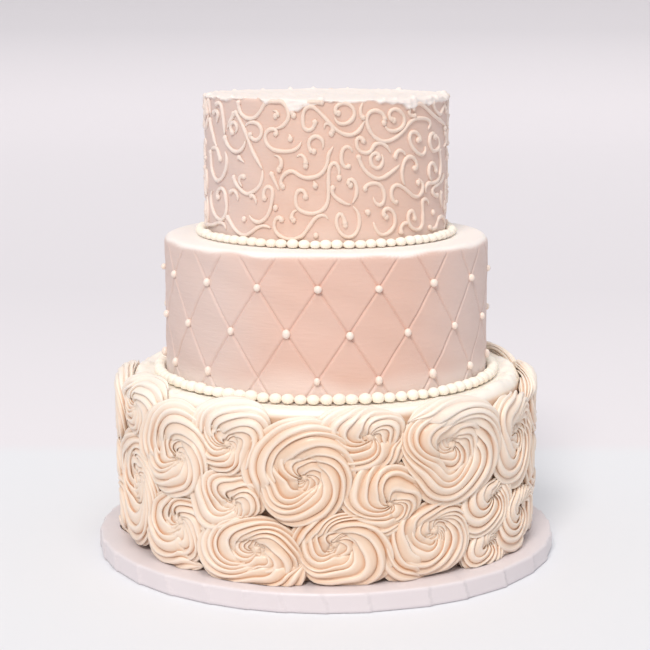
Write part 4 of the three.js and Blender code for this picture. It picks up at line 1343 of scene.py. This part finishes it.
class CAKE_OT_bead_borders(bpy.types.Operator):
    """Pipe a border of beads round the feet of the upper tiers"""
    bl_idname = "cake.bead_borders"
    bl_label = "Bead Borders"

    def execute(self, context):
        scene = context.scene
        tiers, piping = scene.cake_tiers, scene.cake_piping
        icing = cream_buttercream(scene.cake_colours)
        make_bead_border("middle_beads", "middle_bead_border", tiers.middle_radius,
                         tiers.middle_base, piping.middle_beads, (7.9 * MM, 6.3 * MM), icing)
        make_bead_border("top_beads", "top_bead_border", tiers.top_radius, tiers.top_base,
                         piping.top_beads, (7 * MM, 5.2 * MM), icing)
        return {"FINISHED"}


class CAKE_OT_top_tier(bpy.types.Operator):
    """Ice the top tier and pipe its scrolls"""
    bl_idname = "cake.top_tier"
    bl_label = "Top Tier and Scrolls"

    def execute(self, context):
        scene = context.scene
        colours = scene.cake_colours
        icing = rimmed_buttercream(
            "Blush Buttercream with Ivory Edge", colours.blush_top, colours.lip, colours)
        make_top_tier(scene.cake_tiers, icing)
        make_scrolls(scene.cake_tiers, scene.cake_piping, scroll_buttercream(colours))
        return {"FINISHED"}


class CAKE_OT_stage(bpy.types.Operator):
    """Set up the floor, lights and camera"""
    bl_idname = "cake.stage"
    bl_label = "Studio"

    def execute(self, context):
        make_world()
        make_floor(context.scene.cake_colours)
        add_sun("window", -17, 42, 1.72, 16, (1.0, 0.93, 0.87))
        add_sun("skylight", 20, 76, 0.75, 30)
        make_camera()
        return {"FINISHED"}


OPERATORS = (
    CAKE_OT_drum, CAKE_OT_bottom_tier, CAKE_OT_middle_tier, CAKE_OT_bead_borders,
    CAKE_OT_top_tier, CAKE_OT_stage,
)


class CAKE_PT_panel(bpy.types.Panel):
    """Lists the cake's sizes, colours and steps"""
    bl_idname = "CAKE_PT_panel"
    bl_label = "Tiered Wedding Cake"
    bl_space_type = "VIEW_3D"
    bl_region_type = "UI"
    bl_category = "Cake"

    def draw(self, context):
        for name, group in PROPERTY_GROUPS.items():
            box = self.layout.box()
            for key in group.__annotations__:
                box.prop(getattr(context.scene, name), key)
        for operator in OPERATORS:
            self.layout.operator(operator.bl_idname)


CLASSES = (*PROPERTY_GROUPS.values(), *OPERATORS, CAKE_PT_panel)


def register():
    for item in CLASSES:
        bpy.utils.register_class(item)
    for name, group in PROPERTY_GROUPS.items():
        setattr(bpy.types.Scene, name, bpy.props.PointerProperty(type=group))


def unregister():
    for name in PROPERTY_GROUPS:
        delattr(bpy.types.Scene, name)
    for item in reversed(CLASSES):
        bpy.utils.unregister_class(item)


def main():
    register()
    for step in (bpy.ops.cake.drum, bpy.ops.cake.bottom_tier, bpy.ops.cake.middle_tier,
                 bpy.ops.cake.bead_borders, bpy.ops.cake.top_tier, bpy.ops.cake.stage):
        step()


if __name__ == "__main__":
    main()
